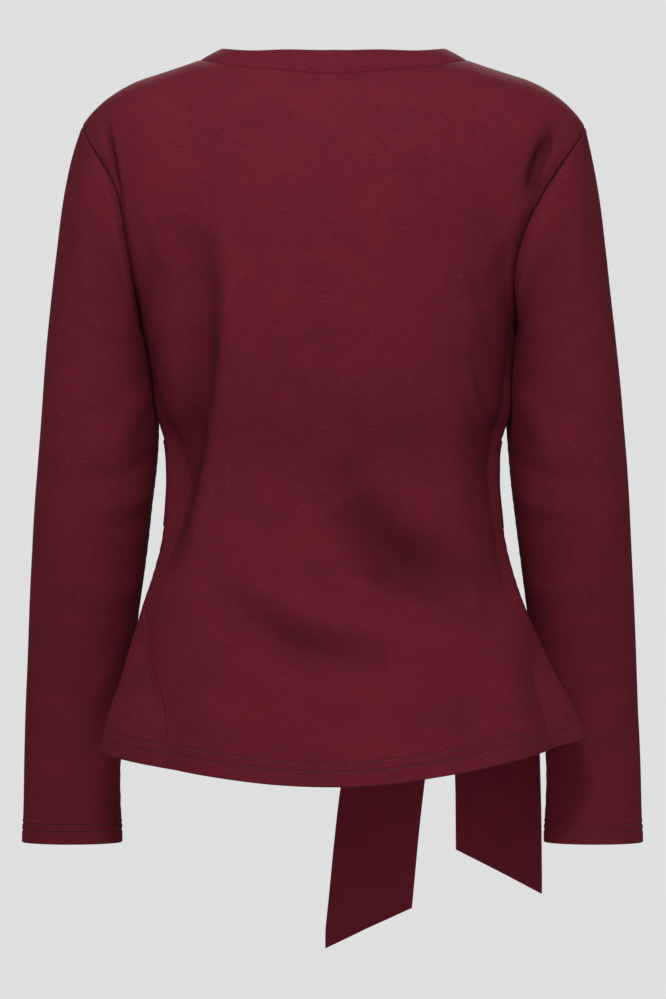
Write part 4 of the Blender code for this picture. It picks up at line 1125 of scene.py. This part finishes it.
def set_studio():
    """The camera, a plain pale floor and soft light all round, stronger from above, front and back."""
    camera = bpy.data.cameras.new("camera")
    camera.sensor_fit = "VERTICAL"
    camera.sensor_height = SENSOR_MM
    camera.lens = LENS_MM
    camera.clip_end = 200
    item = bpy.data.objects.new("camera", camera)
    item.location = CAMERA_PLACE
    item.rotation_euler = (math.pi / 2, 0, math.pi)
    bpy.context.scene.collection.objects.link(item)
    bpy.context.scene.camera = item

    bm = bmesh.new()
    bmesh.ops.create_grid(bm, x_segments=1, y_segments=1, size=FLOOR_SIZE)
    bmesh.ops.translate(bm, verts=bm.verts[:], vec=(0, 0, FLOOR_HEIGHT))
    mesh = bpy.data.meshes.new("floor")
    bm.to_mesh(mesh)
    bm.free()
    paper = bpy.data.materials.new("seamless_studio_paper")
    paper.use_nodes = True
    shader = paper.node_tree.nodes["Principled BSDF"]
    shader.inputs["Base Color"].default_value = linear("#FFFFFF")
    shader.inputs["Roughness"].default_value = 1.0
    shader.inputs["Specular IOR Level"].default_value = 0.0
    mesh.materials.append(paper)
    floor = bpy.data.objects.new("floor", mesh)
    bpy.context.scene.collection.objects.link(floor)

    world = bpy.data.worlds.new("studio")
    world.use_nodes = True
    world.node_tree.nodes["Background"].inputs["Color"].default_value = (1.0, 1.0, 1.0, 1.0)
    world.node_tree.nodes["Background"].inputs["Strength"].default_value = 0.74
    bpy.context.scene.world = world
    bpy.context.scene.view_settings.view_transform = "Standard"

    aim = (0.0, 0.0, -0.22)
    add_light("back_key", (0.1, 1.75, 1.15), aim, 0.5, 5.0, 50)
    add_light("back_fill", (0.0, 3.0, -0.3), aim, 1.0, 7)
    add_light("back_low", (-0.08, 2.5, -0.80), (-0.08, -0.12, -0.71), 0.3, 0.13, 12)
    add_light("front_key", (-0.1, -1.75, 1.15), aim, 0.5, 5.0, 50)
    add_light("front_fill", (0.0, -3.0, -0.3), aim, 1.0, 7)


set_studio()
jersey = ponte_jersey("ponte_jersey", "#4B141C", "#46131C", "#25080D", "#6B2732")
doubled = ponte_jersey("ponte_jersey_doubled", "#4C141D", "#48131D", "#26080D", "#6A2732")
thread = spun_thread("spun_polyester_thread", "#4A131B")

back = panel(1, BACK_FOLDS, BACK_CREASES)
front = panel(-1, FRONT_FOLDS, FRONT_CREASES)
mirror = np.array([-1.0, 1.0, 1.0])
plain_back, plain_front = upper_panel(1), upper_panel(-1)
armhole_left = np.concatenate([plain_back[:, -1], plain_front[:, -1][-2::-1]])
armhole_right = np.concatenate([plain_back[:, 0], plain_front[:, 0][-2::-1]])
neckline = np.concatenate([plain_back[-1, NECK], plain_front[-1, NECK][-2::-1]])
left = sleeve(armhole_left, SLEEVE.out_left, SLEEVE.in_left, 1)
right = sleeve(armhole_right * mirror, SLEEVE.out_right, SLEEVE.in_right, -1)
band = neckband(neckline)
tie_left, tie_right = tie_band(TIE_LEFT_SPAN, 96), tie_band(TIE_RIGHT_SPAN, 24)
end_long = tie_tail(TAIL_LONG, TAIL_LONG_TIP, TAIL_LONG_CORNER, 1, TAIL_LONG_TILT)
end_short = tie_tail(TAIL_SHORT, TAIL_SHORT_TIP, TAIL_SHORT_CORNER, -1, TAIL_SHORT_TILT)

for name, sheet, rows in (
    ("hem_stitches_back", back, HEM_ROWS),
    ("hem_stitches_front", front, HEM_ROWS),
    ("cuff_stitches_left", left, CUFF_ROWS),
    ("cuff_stitches_right", right, CUFF_ROWS),
):
    add_stitches(name, [stitch_line(sheet, row) for row in rows], thread)

# The sleeves, the neckband and the front's sides and shoulders are carried on under what they are sewn to
below_armhole = (np.arange(front.outer.shape[0]) < UNDERARM_ROW)[:, None, None]
for last in (False, True):
    tuck(front, 1, last, SEAM_TUCK * below_armhole + LEAST_TUCK)
tuck(front, 0, True)
for sheet in (left, right, band):
    tuck(sheet, 0, False)

for name, sheet, material, slot, node, ring, edge in (
    ("back_panel_cloth", back, jersey, "jersey", "back_panel", False, 0.0),
    ("front_panel_cloth", front, jersey, "jersey", "front_panel", False, 0.0),
    ("sleeve_left_cloth", left, jersey, "jersey", "sleeve_left", True, 0.0),
    ("sleeve_right_cloth", right, jersey, "jersey", "sleeve_right", True, 0.0),
    ("neckband_cloth", band, doubled, "jersey_doubled", "neckband", True, 0.0),
    ("tie_left_cloth", tie_left, doubled, "jersey_doubled", "tie_band_left", False, 0.0006),
    ("tie_right_cloth", tie_right, doubled, "jersey_doubled", "tie_band_right", False, 0.0006),
    ("tie_end_long_cloth", end_long, doubled, "jersey_doubled", "tie_tail_long", False, 0.0008),
    ("tie_end_short_cloth", end_short, doubled, "jersey_doubled", "tie_tail_short", False, 0.0008),
):
    add_cloth(name, sheet, material, ring, edge)
    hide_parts(node)
knot = add_knot(doubled)
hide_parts("tie_knot")
